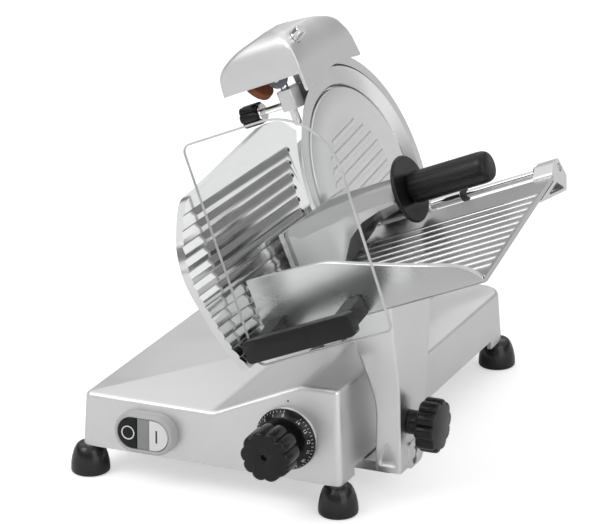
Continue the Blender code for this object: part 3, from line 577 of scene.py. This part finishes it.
# switch: bezel, two keys and their marks; frame levels are (height, half length, half width)
switch = {
    "at": (-98.0, 23.5), "key": 14.0, "top": 12.3, "middle": 14.4,
    "frame": ((0.3, 30, 19), (0.9, 30, 19), (8.2, 30, 19), (9.6, 29.8, 18.8), (10.8, 29.1, 18.1),
              (11.6, 28.2, 17.2), (12, 27.2, 16.2), (12, 26.4, 15.4), (11.6, 25.9, 14.9), (10.2, 25.7, 14.7),
              (2.8, 25.7, 14.7)),
}


def switchUnit():
    x, z = switch["at"]
    key, half, low, high = switch["key"], switch["middle"], switch["top"] + 0.01, switch["top"] + 0.06
    rings = [[(a, b, t) for a, b in stadium(x, z, long, r)] for t, long, r in switch["frame"]]
    finished("switch_frame", drawn(lofted, rings), frontSpace, "greyKey", "base", ["switch_bezel"], smooth=40)
    middle = [(x - 6, z - half), (x + 6, z - half), (x + 6, z + half), (x - 6, z + half)]
    finished("switch_middle", drawn(plate, middle, 2.9, 11.4, 0.4), frontSpace, "darkKey", "base")
    turns = [radians(-90 + 7.5 * i) for i in range(25)]
    for side, name, skin in ((-1, "stop", "black"), (1, "start", "white")):
        outline = [(x + side * (11 + key * cos(t)), z + key * sin(t)) for t in turns]
        outline += [(x + side * 6.5, z + key), (x + side * 6.5, z - key)]
        finished(name + "_key", drawn(plate, outline, 6, switch["top"], 0.7), frontSpace, skin, name + "_key",
                 [name + "_button"])
    ring = drawn(lathe, [(5.4, low), (6.6, low), (6.6, high), (5.4, high)], 48)
    finished("stop_ring", ring, frontSpace @ Matrix.Translation((x - 14.8, z, 0)), "mark", "stop_key")
    bar = roundedOutline([(x + 13.1, z - 6), (x + 14.7, z - 6), (x + 14.7, z + 6), (x + 13.1, z + 6)], 0.3)
    finished("start_bar", drawn(plate, bar, low, high), frontSpace, "inkMark", "start_key")


switchUnit()
print("switch done")


# thickness dial: a cone with its scale, and the knob
dial = {
    "ticks": 45, "numbers": 15, "spread": 324.0, "cone": (25.6, 5.55), "rim": (28.3, 2.9), "brow": (22.9, 8.2),
    "text": 4.2, "lobes": (10, 23.9, 3.2),
    "grip": ((21.6, 0.9), (22.4, 0.965), (23.6, 0.99), (25, 1), (36, 1), (43, 0.99), (45.6, 0.97), (47, 0.93),
             (47.6, 0.87)),
}


def dialUnit():
    outer, inner = dial["rim"], dial["brow"]
    ring = drawn(lathe, [(5.3, 0), (28.2, 0), (28.6, 0.4), (28.6, 2.3), outer, inner, (22.3, 8.5), (5.3, 8.5)], 96)
    finished("dial_scale", ring, dialSpace, "black", "dial", ["dial_ring"])
    slope = atan2(inner[1] - outer[1], outer[0] - inner[0])

    # A place on the cone for mark i of count, out and up from its middle.
    def onCone(i, count, out, up):
        turn = Matrix.Rotation(radians(90 + dial["spread"] * i / (count - 1)), 4, "Z")
        at = Matrix.Translation((dial["cone"][0] + out, 0, dial["cone"][1] + up))
        return turn @ at @ Matrix.Rotation(slope, 4, "Y")

    marks = bmesh.new()
    for i in range(dial["ticks"]):
        made = box(marks, (0, 0, 0), (1.5 if i % 3 else 2.2, 0.42, 0.08))
        bmesh.ops.transform(marks, matrix=onCone(i, dial["ticks"], 1.5, -1.46), verts=made)
    finished("dial_ticks", marks, dialSpace, "mark", "dial")
    for i in range(dial["numbers"]):
        words = bpy.data.curves.new("number", "FONT")
        words.body = str(i)
        words.size = dial["text"]
        words.extrude = 0.04
        words.align_x = "CENTER"
        words.align_y = "CENTER"
        shown = linked("number", words)
        bm = bmesh.new()
        bm.from_mesh(evaluated(shown))
        bpy.data.objects.remove(shown)
        place = onCone(i, dial["numbers"], -1.1, 1.12) @ Matrix.Rotation(-pi / 2, 4, "Z")
        bmesh.ops.transform(bm, matrix=place, verts=bm.verts)
        finished("dial_number_%02d" % i, bm, dialSpace, "mark", "dial")
    dot = drawn(peg, (40, 73, 0.05), 0.9, 0.1, 24)  # index mark on the housing, above the dial
    finished("index_dot", dot, frontSpace, "inkMark", "base")

    grip = finished("thickness_grip", drawn(lofted, stacked(lobed(*dial["lobes"]), dial["grip"])), dialSpace,
                    "black", "dial", ["thickness_knob"], smooth=50)
    dimple = drawn(lathe, [(0, 44), (2.4, 44), (2.9, 47.3), (3.6, 47.8), (3.6, 50), (0, 50)], 32)
    cutAway(grip, dimple, dialSpace)
    smoothed(grip.data, 50)
    neck = drawn(lathe, [(5.3, 8.8), (15.6, 8.8), (16, 9.2), (16, 20.6), (16.6, 21.6), (18.5, 22.2), (5.3, 22.2)], 72)
    finished("thickness_neck", neck, dialSpace, "black", "dial")


dialUnit()
print("dial done")


# gauge plate: polished, with milled finger grooves
gauge = {
    "thick": 8.0, "blade": 118.5, "pitch": 11.0, "first": 66.0, "grooves": 13, "ends": 135.0, "pit": 2.0,
    "groove": ((-3.0, 0.4), (-2.7, 0), (1.9, -1.55), (2.5, -1.65), (2.9, -1.4), (3.9, 0), (4.1, 0.4)),
    "end": ((0, 0.35), (-1, 0.75), (-2.6, 1)), "reach": -400,
    "edge": ((-146, 97), (-290, 82), (-306, 81), (-316, 78), (-325, 71), (-336, 60), (-345, 49), (-351, 36),
             (-354, 22), (-353, 8), (-349, -8), (-344, -26), (-338, -44), (-330, -60), (-321, -76)),
    "top": ((-99, 83), (-105, 88), (-112, 91.6), (-120, 94.4), (-128, 96)),
}


def gaugePlate():
    edge, r = gauge["edge"], gauge["blade"]
    outline = [edge[0], (-233, 88)] + curved(edge[1:], 4, closed=False)
    turns = [radians(-39.9 + 1.6 * i) for i in range(51)]
    outline += [(-r * cos(t), r * sin(t)) for t in turns] + list(gauge["top"])
    slab = finished("gauge_face", drawn(plate, outline, -gauge["thick"], 0), nSpace, "gauge", "gauge",
                    ["gauge_plate"])
    cutter, pits = bmesh.new(), bmesh.new()
    for i in range(gauge["grooves"]):
        u = gauge["first"] - gauge["pitch"] * i
        end = -sqrt(gauge["ends"] ** 2 - u * u)
        steps = [(end + back, k) for back, k in gauge["end"]] + [(gauge["reach"], 1)]
        lofted(cutter, [[(n * k, y, u + a * k) for a, n in gauge["groove"]] for y, k in steps])
        made = peg(pits, (0, 0, 0), gauge["pit"] * 0.8, 9, 20, gauge["pit"])
        bmesh.ops.rotate(pits, verts=made, cent=(0, 0, 0), matrix=Matrix.Rotation(pi / 2, 3, "Y"))
        bmesh.ops.translate(pits, vec=(-1.5, end + 0.2, u - 0.6), verts=made)
    cutAway(slab, cutter, bladeSpace)
    cutAway(slab, pits, bladeSpace)
    edged(slab, 0.35, 30)
    softened("gauge_plate_support", "housing", 1.2)
    softened("gauge_guide_rod", "steel", 0.4)


gaugePlate()
print("gauge plate done")


# blade, its ring guard, cover and drive
blade = {
    "ribs": 10, "firstRib": 49.5, "ribPitch": 11, "field": 58, "ribRadius": 3.6, "turn": 6,
    "disc": ((20, -9), (91.5, -9), (92.4, -8.4), (93, -4.4), (93.6, -3.2), (109.2, -0.1), (110, 0), (110, -0.5),
             (109, -1), (104, -4.5), (95, -6.5), (93, -12), (20, -12)),
    "cover": ((0, -8.4), (89.8, -8.4), (90.8, -7.6), (90.8, -4), (90.5, -3.1), (89.8, -2.6), (88.6, -2.4),
              (70, -2.2), (58, -2.1), (55.8, -1.95), (0, -1.95)),
    "grip": ((51.9, 0.9), (52.3, 0.96), (53.2, 1), (70.4, 1), (71.5, 0.96), (72, 0.88)),
}


def bladeUnit():
    along = axisSpace(bladeSpace, (0, 0, 0), (1, 0, 0))
    finished("blade_disc", drawn(lathe, blade["disc"], 180), along, "blade", "cutter", ["blade"], smooth=12)
    cover = drawn(lathe, blade["cover"], 144)
    spin = Matrix.Rotation(radians(blade["turn"]), 3, "Z")
    for i in range(blade["ribs"]):
        u = blade["firstRib"] - blade["ribPitch"] * i
        half = sqrt(max(0, blade["field"] ** 2 - u * u))
        if half > 12:
            capsule(cover, spin @ Vector((4 - half, u, -2.0)), spin @ Vector((1, 0, 0)), 2 * half - 8,
                    blade["ribRadius"], 0.17, (0, 0, 1))
    finished("cover_face", cover, along, "cover", "base", ["blade_cover"], smooth=25)
    back = drawn(lathe, [(0, -15.5), (9.4, -15.5), (10, -14.9), (10, -8.3), (0, -8.3)], 48)
    finished("cover_lug", back, along, "cover", "base")
    for node, skin, width in (("blade_housing", "housing", 0.8), ("blade_pulley", "steel", 0.5),
                              ("blade_bearing", "steel", 0.4), ("drive_belt", "rubber", 0.3),
                              ("motor_pulley", "pulley", 0.4), ("motor", "enamel", 0.8),
                              ("cover_tie_rod", "steel", 0.4)):
        softened(node, skin, width)
    finished("tie_grip", drawn(lofted, stacked(lobed(8, 12, 2), blade["grip"])),
             axisSpace(bladeSpace, (0, 0, 0), (-1, 0, 0)), "black", "tie_knob", ["tie_rod_knob"], smooth=50)


bladeUnit()
print("blade done")


# sharpener: cast hood, two stones and its clamp; hood levels are u, left, right, front, back, middle, three radii
hood = {
    "levels": ((122, -75.3, 12.1, -65, 55, -26, 2.5, 3, 2.5), (132, -74.6, 12, -65, 53, -26, 3.5, 3, 3),
               (140, -73.2, 11.2, -64.6, 49, -26, 5, 3.2, 4), (147, -68.5, 9.8, -63.6, 45, -26, 7, 3.6, 5),
               (153, -60, 7.8, -61.9, 37, -26, 9, 4.5, 6), (158, -49, 5.4, -59.2, 23, -27, 10, 6, 7),
               (162, -35, 2, -55.2, 6, -27, 10, 7, 8), (165, -24, -6, -49, -12, -26, 7, 6, 6)),
    "ridge": ((105, 10.6, -63.3), (122, 10.6, -63.3), (132, 10.4, -63.2), (140, 9.8, -62.9), (147, 8.3, -61.6),
              (152, 6.2, -59.9), (156, 3.9, -57.8), (160, 0, -53.4)),
    "lip": ((-64.6, 104.7), (-64.6, 128), (53, 128), (57, 106), (39, 109), (20, 111.5), (0, 112.2), (-20, 112),
            (-42, 109)),
    "steps": 8, "wall": 2.8, "bead": 1.7, "post": (-29.0, -31.5), "stone": (-50.6, -43.3, 119.5), "lean": 30.0,
    "burr": (-18, -58, 124), "clamp": 94, "seat": ((-19, -42, 124), (14, 20, 9)),
    "hole": ((0, 30), (4.4, 30), (4.4, 63), (6.4, 63), (6.4, 100), (0, 100)),
    "boss": ((4.3, 121.4), (6.8, 121.4), (7.2, 121.8), (7.2, 159), (4.3, 159)),
    "pin": ((0, 72), (2.2, 72.2), (3.2, 73.4), (4, 75.5), (4, 149.7), (0, 149.7)),
    "wheel": ((4.3, -1), (15, -1), (15.7, -0.7), (16, 0), (16, 5), (15.7, 5.7), (15, 6), (4.3, 6)),
    "axle": ((0, -3.5), (6.6, -3.5), (7, -3.1), (7, -1.7), (6.6, -1.3), (4, -1.3), (4, 66), (5.3, 66.1),
             (5.8, 66.6), (5.8, 76.2), (5.5, 77.1), (4.8, 77.6), (0, 77.6)),
    "fine": ((2.9, -2), (9.6, -2), (10.3, -1.3), (10.3, 2.3), (9.6, 3), (2.9, 3)),
    "grip": ((61.5, 0.9), (61.8, 0.97), (62.6, 1), (79.6, 1), (80.6, 0.97), (81, 0.9)),
    "screw": ((0, 33.3), (2.6, 33.3), (3.3, 34), (3.3, 59.2), (8.1, 59.2), (8.5, 59.6), (8.5, 60.8), (8.1, 61.2),
              (3.3, 61.2), (3.3, 73.7), (0, 73.7)),
}


# The hood's outline at one level, its long edges divided into steps.
def hoodRing(u, left, right, front, back, middle, *radii):
    plan = [(left, front), (right, front), (right, back), (middle, back), (left, min(-20.0, back - 4))]
    line, steps = roundedOutline(plan, [*radii, 2.5, 2.5]), hood["steps"]
    points = []
    for k, p in enumerate(line):
        q = Vector(line[(k + 1) % len(line)])
        points += [Vector(p).lerp(q, f / steps) for f in range(steps)] if k % 7 == 6 else [Vector(p)]
    return [(n, y, u) for n, y in points]


def sharpenerUnit():
    bm = drawn(lofted, [hoodRing(*through(hood["levels"], i / 8)) for i in range(57)])
    bottom = min(bm.faces, key=lambda f: f.calc_center_median().z)
    bmesh.ops.delete(bm, geom=[bottom], context="FACES_ONLY")
    crown = max(bm.faces, key=lambda f: f.calc_center_median().z)
    bmesh.ops.inset_region(bm, faces=[crown], thickness=2.2, depth=0.8, use_even_offset=True)
    shell = finished("hood_shell", bm, bladeSpace, "hood", "sharpener", ["sharpener_cap"], wall=hood["wall"],
                     smooth=38)
    settle(shell)
    lean = radians(hood["lean"])
    stoneSpace = axisSpace(bladeSpace, hood["stone"], (cos(lean), 0, sin(lean)))
    cutAway(shell, drawn(lathe, hood["hole"], 48), stoneSpace)
    edged(shell, 0.6, 44, 42, False)
    # the hood's right wall reaches down over the blade's rim
    lip = roundedOutline(hood["lip"], [2, 0.5, 0.5, 2, 1, 1, 1, 1, 1], 4)
    finished("hood_lip", drawn(plate, lip, 8.95, 12.15), nSpace, "hood", "sharpener")
    r, turns = hood["bead"], [tau * i / 20 for i in range(20)]
    bead = [[(n + r * cos(t), y + r * sin(t), u) for t in turns]
            for u, n, y in curved(hood["ridge"], 5, closed=False)]
    finished("hood_ridge", drawn(lofted, bead), bladeSpace, "hood", "sharpener", smooth=50)
    post = hood["post"]
    finished("hood_boss", drawn(lathe, hood["boss"], 48, post), bladeSpace, "hood", "sharpener")
    finished("hood_seat", drawn(box, *hood["seat"]), bladeSpace, "hood", "sharpener", bevel=1)
    finished("hood_post", drawn(lathe, hood["pin"], 48, post), bladeSpace, "chrome", "sharpener", ["sharpener_post"])
    finished("grinding_wheel", drawn(lathe, hood["wheel"], 72), stoneSpace, "brown", "grinder_stone",
             ["grinding_stone"])
    finished("grinding_axle", drawn(lathe, hood["axle"], 56), stoneSpace, "chrome", "grinder_spindle",
             ["grinding_spindle"])
    finished("deburring_wheel", drawn(lathe, hood["fine"], 56), axisSpace(bladeSpace, hood["burr"], (0, 1, 0), "X"),
             "slate", "burr_stone", ["deburring_stone"])
    softened("deburring_spindle", "steel", 0.3)
    clampSpace = axisSpace(bladeSpace, (0, post[1], hood["clamp"]), (-1, 0, 0))
    finished("clamp_grip", drawn(lofted, stacked(lobed(6, 11, 2.4), hood["grip"])), clampSpace, "black",
             "sharpener_clamp", ["sharpener_clamp_knob"], smooth=50)
    finished("clamp_screw", drawn(lathe, hood["screw"], 40), clampSpace, "chrome", "sharpener_clamp",
             ["sharpener_clamp_screw"])


sharpenerUnit()
print("sharpener done")


# food tray: thin ribbed floor, flared front wall, pusher rod
tray = {
    "corner": (-272.5, -64.6), "back": -80.0, "thick": 4.0, "ribs": 11, "firstRib": -116.0, "ribPitch": 13.0,
    "rib": (207, 2.3, 0.55), "rod": (-60, -31), "bore": 3.8,
    "top": ((2.5, -10), (40, -10), (70, -10.3), (90, -12), (125, -22.4), (150, -29.8), (168, -35), (188, -40.6),
            (200, -44.5), (208, -48.5), (214, -54), (218, -60), (219.4, -63.6)),
    "lug": ((-86, -44), (-56, -42), (-50, -38), (-50, -25), (-56, -21), (-68, -21), (-86, -33)),
    "bracket": ((-118, -45.9), (-118, -43.9), (-79.6, -37.7), (-79.6, -31), (-68, -24), (-56, -22.6),
                (-51.7, -41.4), (-62.8, -52.4)),
    "notch": ((-76, -40.7), (-64.5, -49.6), (-104, -44.6)),
}
floorRise = tan(traySlope)


def floorHeight(y):
    return tray["corner"][1] + (y - tray["corner"][0]) * floorRise


# carriage: slide block, cast column and clamp knob; column levels are z, left, right, front, back
carriage = {
    "levels": ((29, 104, 130, -227, -173), (34, 104, 130, -227, -171.5), (64, 104.4, 130, -226.6, -170),
               (82, 105, 130, -227, -167), (98, 103.5, 130.2, -228, -163), (120, 98, 130.2, -231, -160),
               (149, 89, 129, -236, -154), (200, 74, 127, -241, -144)),
    "knob": (-206.0, 72.0), "slot": (-196.5, 37.5), "foot": ((86, -200, 29.25), (60, 36, 10.5)),
    "scoop": {"middle": (117, 40), "taper": 0.78, "from": -236, "to": -223},
    "lug": ((-210, 27), (-184, 27), (-172, 38), (-172, 52), (-210, 52)),
    "arch": ((107.5, 34), (117, 33.4), (126.5, 34), (125.5, 44), (122, 54), (117, 60), (112, 54), (108.5, 44)),
    "pin": ((0, 124.4), (4.6, 124.4), (4.6, 129.4), (4.2, 130.2), (3.2, 130.6), (0, 130.7)),
    "grip": ((143, 0.88), (143.5, 0.95), (144.6, 0.99), (146, 1), (157, 1), (159, 0.985), (160.1, 0.95),
             (160.5, 0.89)),
    "neck": ((0, 120.4), (5, 120.4), (5, 130.6), (10.6, 130.6), (11, 131), (11, 143.4), (0, 143.4)),
}


def carriageUnit():
    sections = []
    for i in range(4 * len(carriage["levels"]) - 3):
        z, left, right, front, back = through(carriage["levels"], i / 4)
        plan = [(left, front), (right, front), (right, back), (left, back)]
        sections.append([(x, y, z) for x, y in roundedOutline(plan, [5, 2.4, 4, 5], 5)])
    post = finished("column_body", drawn(lofted, sections), bodySpace, "column", "carriage", ["carriage_column"],
                    smooth=50)
    top = [(-330, floorHeight(-330) - 4.6), (-100, floorHeight(-100) - 4.6), (-100, 60), (-330, 60)]
    cutAway(post, drawn(plate, top, -60, 220), nSpace)
    cutAway(post, drawn(plate, roundedOutline(carriage["lug"], 4), 112, 131.6), sideSpace, "UNION")
    scoop = carriage["scoop"]  # arched recess at the foot of the front face
    (mx, mz), k = scoop["middle"], scoop["taper"]
    arch = curved(carriage["arch"])
    narrow = [(mx + (x - mx) * k, scoop["to"], mz + (z - mz) * k) for x, z in arch]
    cutAway(post, drawn(lofted, [[(x, scoop["from"], z) for x, z in arch], narrow]), bodySpace)
    turned = Matrix.Translation((*carriage["slot"], 0)) @ Matrix.Rotation(radians(70), 4, "Z")
    cutAway(post, drawn(plate, stadium(0, 0, 9.0, 5.2), 124, 140), sideSpace @ turned)
    cutAway(post, drawn(peg, (*carriage["knob"], 130), 5.4, 20), sideSpace)
    edged(post, 0.7, 38, 50)
    arm = drawn(box, *carriage["foot"])
    for y in (-210, -190):
        peg(arm, (70, y, 23.9), 7, 1.2)
    finished("column_foot", arm, bodySpace, "column", "carriage", bevel=1.2)
    finished("slot_pin", drawn(lathe, carriage["pin"], 40, carriage["slot"]), sideSpace, "chrome", "carriage",
             ["column_pin"])
    knob = stacked(lobed(10, 24.5, 3.4), carriage["grip"], carriage["knob"])
    finished("clamp_knob", drawn(lofted, knob), sideSpace, "black", "carriage_clamp", ["carriage_clamp_knob"],
             smooth=50)
    finished("clamp_neck", drawn(lathe, carriage["neck"], 48, carriage["knob"]), sideSpace, "black", "carriage_clamp")
    softened("carriage_slide_block", "steel", 0.8)
    softened("carriage_slide_rod", "chrome", 0.6)
    softened("carriage_guide_rail", "steel", 0.5)
    for node in ("foot_bolt_1", "foot_bolt_2", "bottom_plate"):
        softened(node, "steel", 0.4)


carriageUnit()
print("carriage done")


def trayUnit():
    y, u = tray["corner"]
    t, back = tray["thick"], tray["back"]
    # the sheet's section at n: outside corner, back edge, inside corner, then the flared wall's rim
    sections = []
    for n, high in curved(tray["top"], 4, closed=False):
        lean = tilt * max(0.0, min(1.0, n / 220))
        length = (high - u) / cos(lean)
        dy, du = -sin(lean), cos(lean)
        a, b = y + dy * length, u + du * length
        ring = [(y - t, u + 2.4), (y - t + 0.6, u - t + 1.6), (y - t + 2.4, u - t + 0.1), (y + 2, u - t),
                (back, floorHeight(back) - t), (back, floorHeight(back)),
                (y + 3.0, u + 3.0 * floorRise), (y + 1.0, u + 0.8), (y, u + 2.6),
                (a, b - 0.6), (a - 0.5, b), (a - t + 0.5, b + t * dy), (a - t * du, b + t * dy - 0.6)]
        sections.append([(n, *p) for p in ring])
    finished("tray_sheet", drawn(lofted, sections), bladeSpace, "tray", "carriage", ["carriage_tray"], smooth=40)
    ribs = bmesh.new()
    for i in range(tray["ribs"]):
        at = tray["firstRib"] - tray["ribPitch"] * i
        capsule(ribs, (7.5, at, floorHeight(at) - 0.3), (1, 0, 0), *tray["rib"], (0, -sin(traySlope), 1))
    finished("tray_ribs", ribs, bladeSpace, "tray", "carriage")
    ear = finished("rod_lug", drawn(plate, roundedOutline(tray["lug"], 3), 4, 15, 0.7), nSpace, "column", "carriage",
                   smooth=40)
    cutAway(ear, drawn(peg, (*tray["rod"], 8.5), tray["bore"], 17), nSpace)
    smoothed(ear.data, 40)
    bracket = roundedOutline(tray["bracket"], [0.5, 0.5, 4, 4, 4, 3, 3, 2])
    end = finished("rod_end", drawn(plate, bracket, 200, 219.8), nSpace, "column", "carriage", ["rod_bracket"],
                   smooth=40)
    notch = drawn(plate, roundedOutline(tray["notch"], 0.8, 3), 208, 225)
    peg(notch, (*tray["rod"], 210), tray["bore"], 30)
    cutAway(end, notch, nSpace)
    edged(end, 0.7, 35)
    rod = drawn(lathe, [(0, 6), (3.1, 6), (3.5, 6.4), (3.5, 216.6), (3.1, 217), (0, 217)], 40, tray["rod"])
    finished("rod_bar", rod, nSpace, "chrome", "carriage", ["pusher_rod"])
    softened("rod_buffer", "rubber", 0.4)


trayUnit()
print("tray done")


# clear guard with its black hand bar; the sheet leans back as it rises
guard = {
    "thick": 3.0, "rim": 1.5, "chamfer": 0.8, "foot": (-314.0, -73), "lean": 17.4 / 194, "facing": 0.985,
    "outline": ((4, -79), (142, -79), (147, 122.8), (4, 122.8)), "corners": (10, 6, 60, 8),
    "bar": ((3.4, -72), (113, -72), (113, -52), (3.4, -52)), "barMiddle": (58, -62),
    "barLevels": ((-0.3, 0.995), (-0.6, 1), (-10, 1), (-11.2, 0.99), (-12, 0.965)),
}


def onGuard(bm):
    y, u = guard["foot"]
    for v in bm.verts:
        a, b, t = v.co
        v.co = (a, y + (b - u) * guard["lean"] + t, b)
    return bm


def guardUnit():
    half, rim, cut = guard["thick"] / 2, guard["rim"], guard["chamfer"]
    outer = roundedOutline(guard["outline"], guard["corners"], 14)
    within = [(a + rim * (1 if a < 70 else -1), b + rim * (1 if b < 0 else -1)) for a, b in guard["outline"]]
    inner = roundedOutline(within, [r - rim for r in guard["corners"]], 14)
    rings = [[(a, b, t) for a, b in line]
             for line, t in ((inner, -half), (outer, cut - half), (outer, half - cut), (inner, half))]
    sheet = finished("guard_sheet", onGuard(drawn(lofted, rings)), bladeSpace, "clear", "carriage", ["hand_guard"],
                     smooth=10)
    sheet.data.materials.append(skins["sawn"])
    facing = (bladeSpace.to_3x3() @ Vector((0, 1, -guard["lean"]))).normalized()
    for face in sheet.data.polygons:
        face.material_index = 0 if abs(face.normal.dot(facing)) > guard["facing"] else 1
    x, z = guard["barMiddle"]
    outline = [(a - x, b - z) for a, b in roundedOutline(guard["bar"], 4)]
    bar = drawn(lofted, stacked(outline, [(t - half, k) for t, k in guard["barLevels"]], (x, z)))
    finished("hand_bar", onGuard(bar), bladeSpace, "handle", "carriage", ["front_handle"], smooth=40)
    softened("handle_spacer_left", "handle", 1.0)
    softened("handle_spacer_right", "handle", 1.0)


guardUnit()
print("guard done")


# pusher: cast arm, toothed plate and handle
pusher = {
    "handle": (-105.0, -3.4), "flutes": 18, "radius": 14.3,
    "shield": ((7.3, 92.4), (29.4, 92.4), (30.9, 92.9), (31.4, 94), (31.1, 95.4), (30.2, 96.4), (7.3, 96.4)),
    "grip": ((0, 118.6), (7.3, 118.6), (7.3, 96.8), (12.2, 96.8), (13.4, 98), (14.3, 100.4), (14.5, 102.5),
             (14.5, 170.5), (14.3, 173), (13.5, 175.6), (12.3, 177.2), (10.5, 178), (0, 178)),
}


def pusherUnit():
    for node, skin, width in (("pusher_arm", "arm", 1.6), ("pusher_teeth_plate", "steel", 0.3),
                              ("pusher_sleeve", "arm", 0.5), ("pusher_bush", "chrome", 0.4),
                              ("bush_seal", "rubber", 0.3)):
        softened(node, skin, width)
    at = pusher["handle"]
    finished("shield_disc", drawn(lathe, pusher["shield"], 96, at), nSpace, "handle", "pusher", ["pusher_flange"],
             smooth=40)
    finished("handle_grip", drawn(lathe, pusher["grip"], 72, at), nSpace, "handle", "pusher", ["pusher_handle"],
             smooth=40)
    flutes = bmesh.new()
    for k in range(pusher["flutes"]):
        turn = tau * k / pusher["flutes"]
        a, b = cos(turn), sin(turn)
        capsule(flutes, (at[0] + pusher["radius"] * a, at[1] + pusher["radius"] * b, 104), (0, 0, 1), 65, 0.8, 0.45,
                (a, b, 0), 10)
    finished("handle_flutes", flutes, nSpace, "handle", "pusher")


pusherUnit()
print("pusher done")


# the photographer's table, lamps and camera
studio = {
    "floor": 0.93, "glow": 0.5, "sky": 0.66, "shine": 0.34, "aim": (0, 0, 0.18),
    "walls": ((0.48, 0.95), (0.55, 0.95), (0.59, 0.2), (0.69, 0.2), (0.75, 0.85)),
    "lamps": (("key", (-1.1, -1.5, 1.9), 1.3, 17.0), ("fill", (1.9, -1.1, 1.0), 1.6, 11.0),
              ("rim", (-0.6, 1.7, 1.5), 1.4, 2.5)),
}


# One for rays that come from the camera, straight or through the guard, zero for the rest.
def seen(tree):
    rays = added(tree, "ShaderNodeLightPath", {}).outputs
    return reckoned(tree, "MAXIMUM", rays["Is Camera Ray"], rays["Is Transmission Ray"])


def stageUnit():
    floor = bmesh.new()
    bmesh.ops.create_grid(floor, x_segments=1, y_segments=1, size=15)
    bmesh.ops.translate(floor, vec=(0, 0, -0.0002), verts=floor.verts)
    ground = linked("floor", meshed("floor", floor))
    level = studio["floor"]
    skin, tree, shader = startSkin("paleFloor", 0.0, (0.9, 0.9), (level, level, level))
    shader.inputs["Specular IOR Level"].default_value = 0.1
    shader.inputs["Emission Color"].default_value = (1, 1, 1, 1)
    tree.links.new(reckoned(tree, "MULTIPLY", seen(tree), studio["glow"]), shader.inputs["Emission Strength"])
    ground.data.materials.append(skin)

    world = bpy.data.worlds.new("studio")
    world.use_nodes = True
    bpy.context.scene.world = world
    tree = world.node_tree
    sky = tree.nodes["Background"]
    sky.inputs["Color"].default_value = (1, 1, 1, 1)
    where = added(tree, "ShaderNodeTexCoord", {}).outputs["Generated"]
    height = added(tree, "ShaderNodeSeparateXYZ", {0: where}).outputs["Z"]
    fromFloor = added(tree, "ShaderNodeMapRange", {"Value": height, "From Min": -1}).outputs["Result"]
    bands = added(tree, "ShaderNodeValToRGB", {"Fac": fromFloor})  # pale ceiling, greyer walls for the metal to show
    ramp = bands.color_ramp
    ramp.elements[0].position, ramp.elements[0].color = 0.0, (0.9, 0.9, 0.9, 1)
    ramp.elements[1].position, ramp.elements[1].color = 1.0, (1, 1, 1, 1)
    for position, level in studio["walls"]:
        ramp.elements.new(position).color = (level, level, level, 1)
    # metal sees the walls a little brighter than they light the rest
    glossy = added(tree, "ShaderNodeLightPath", {}).outputs["Is Glossy Ray"]
    strength = reckoned(tree, "MULTIPLY_ADD", glossy, studio["shine"], studio["sky"])
    walls = added(tree, "ShaderNodeBackground", {"Color": bands.outputs["Color"], "Strength": strength})
    mix = added(tree, "ShaderNodeMixShader", {0: seen(tree), 1: walls.outputs[0], 2: sky.outputs[0]})
    tree.links.new(mix.outputs[0], tree.nodes["World Output"].inputs["Surface"])

    centre = Vector(studio["aim"])
    for name, at, size, power in studio["lamps"]:
        lamp = bpy.data.lights.new(name, "AREA")
        lamp.size = size
        lamp.energy = power
        lit = linked(name, lamp)
        lit.location = at
        lit.rotation_euler = (centre - Vector(at)).to_track_quat("-Z", "Y").to_euler()


camera = {
    "azimuth": 24.9343, "elevation": 19.7925, "roll": -0.9706, "lens": 193.82, "sensor": 36,
    "from": (1.1611, -2.6492, 0.9579),
}


def cameraUnit():
    a, e, r = (radians(camera[k]) for k in ("azimuth", "elevation", "roll"))
    back = Vector((sin(a) * cos(e), -cos(a) * cos(e), sin(e)))
    right = (-back).cross(Vector((0, 0, 1))).normalized()
    up = right.cross(-back)
    side = right * cos(r) + up * sin(r)
    top = -right * sin(r) + up * cos(r)
    eye = linked("camera", bpy.data.cameras.new("camera"))
    eye.data.lens = camera["lens"]
    eye.data.sensor_width = camera["sensor"]
    turn = Matrix((side, top, back)).transposed().to_4x4()
    eye.matrix_world = Matrix.Translation(bladeSpace.translation + Vector(camera["from"])) @ turn
    bpy.context.scene.camera = eye


stageUnit()
cameraUnit()
bpy.context.scene.view_settings.view_transform = "Standard"
print("stage and camera ready")
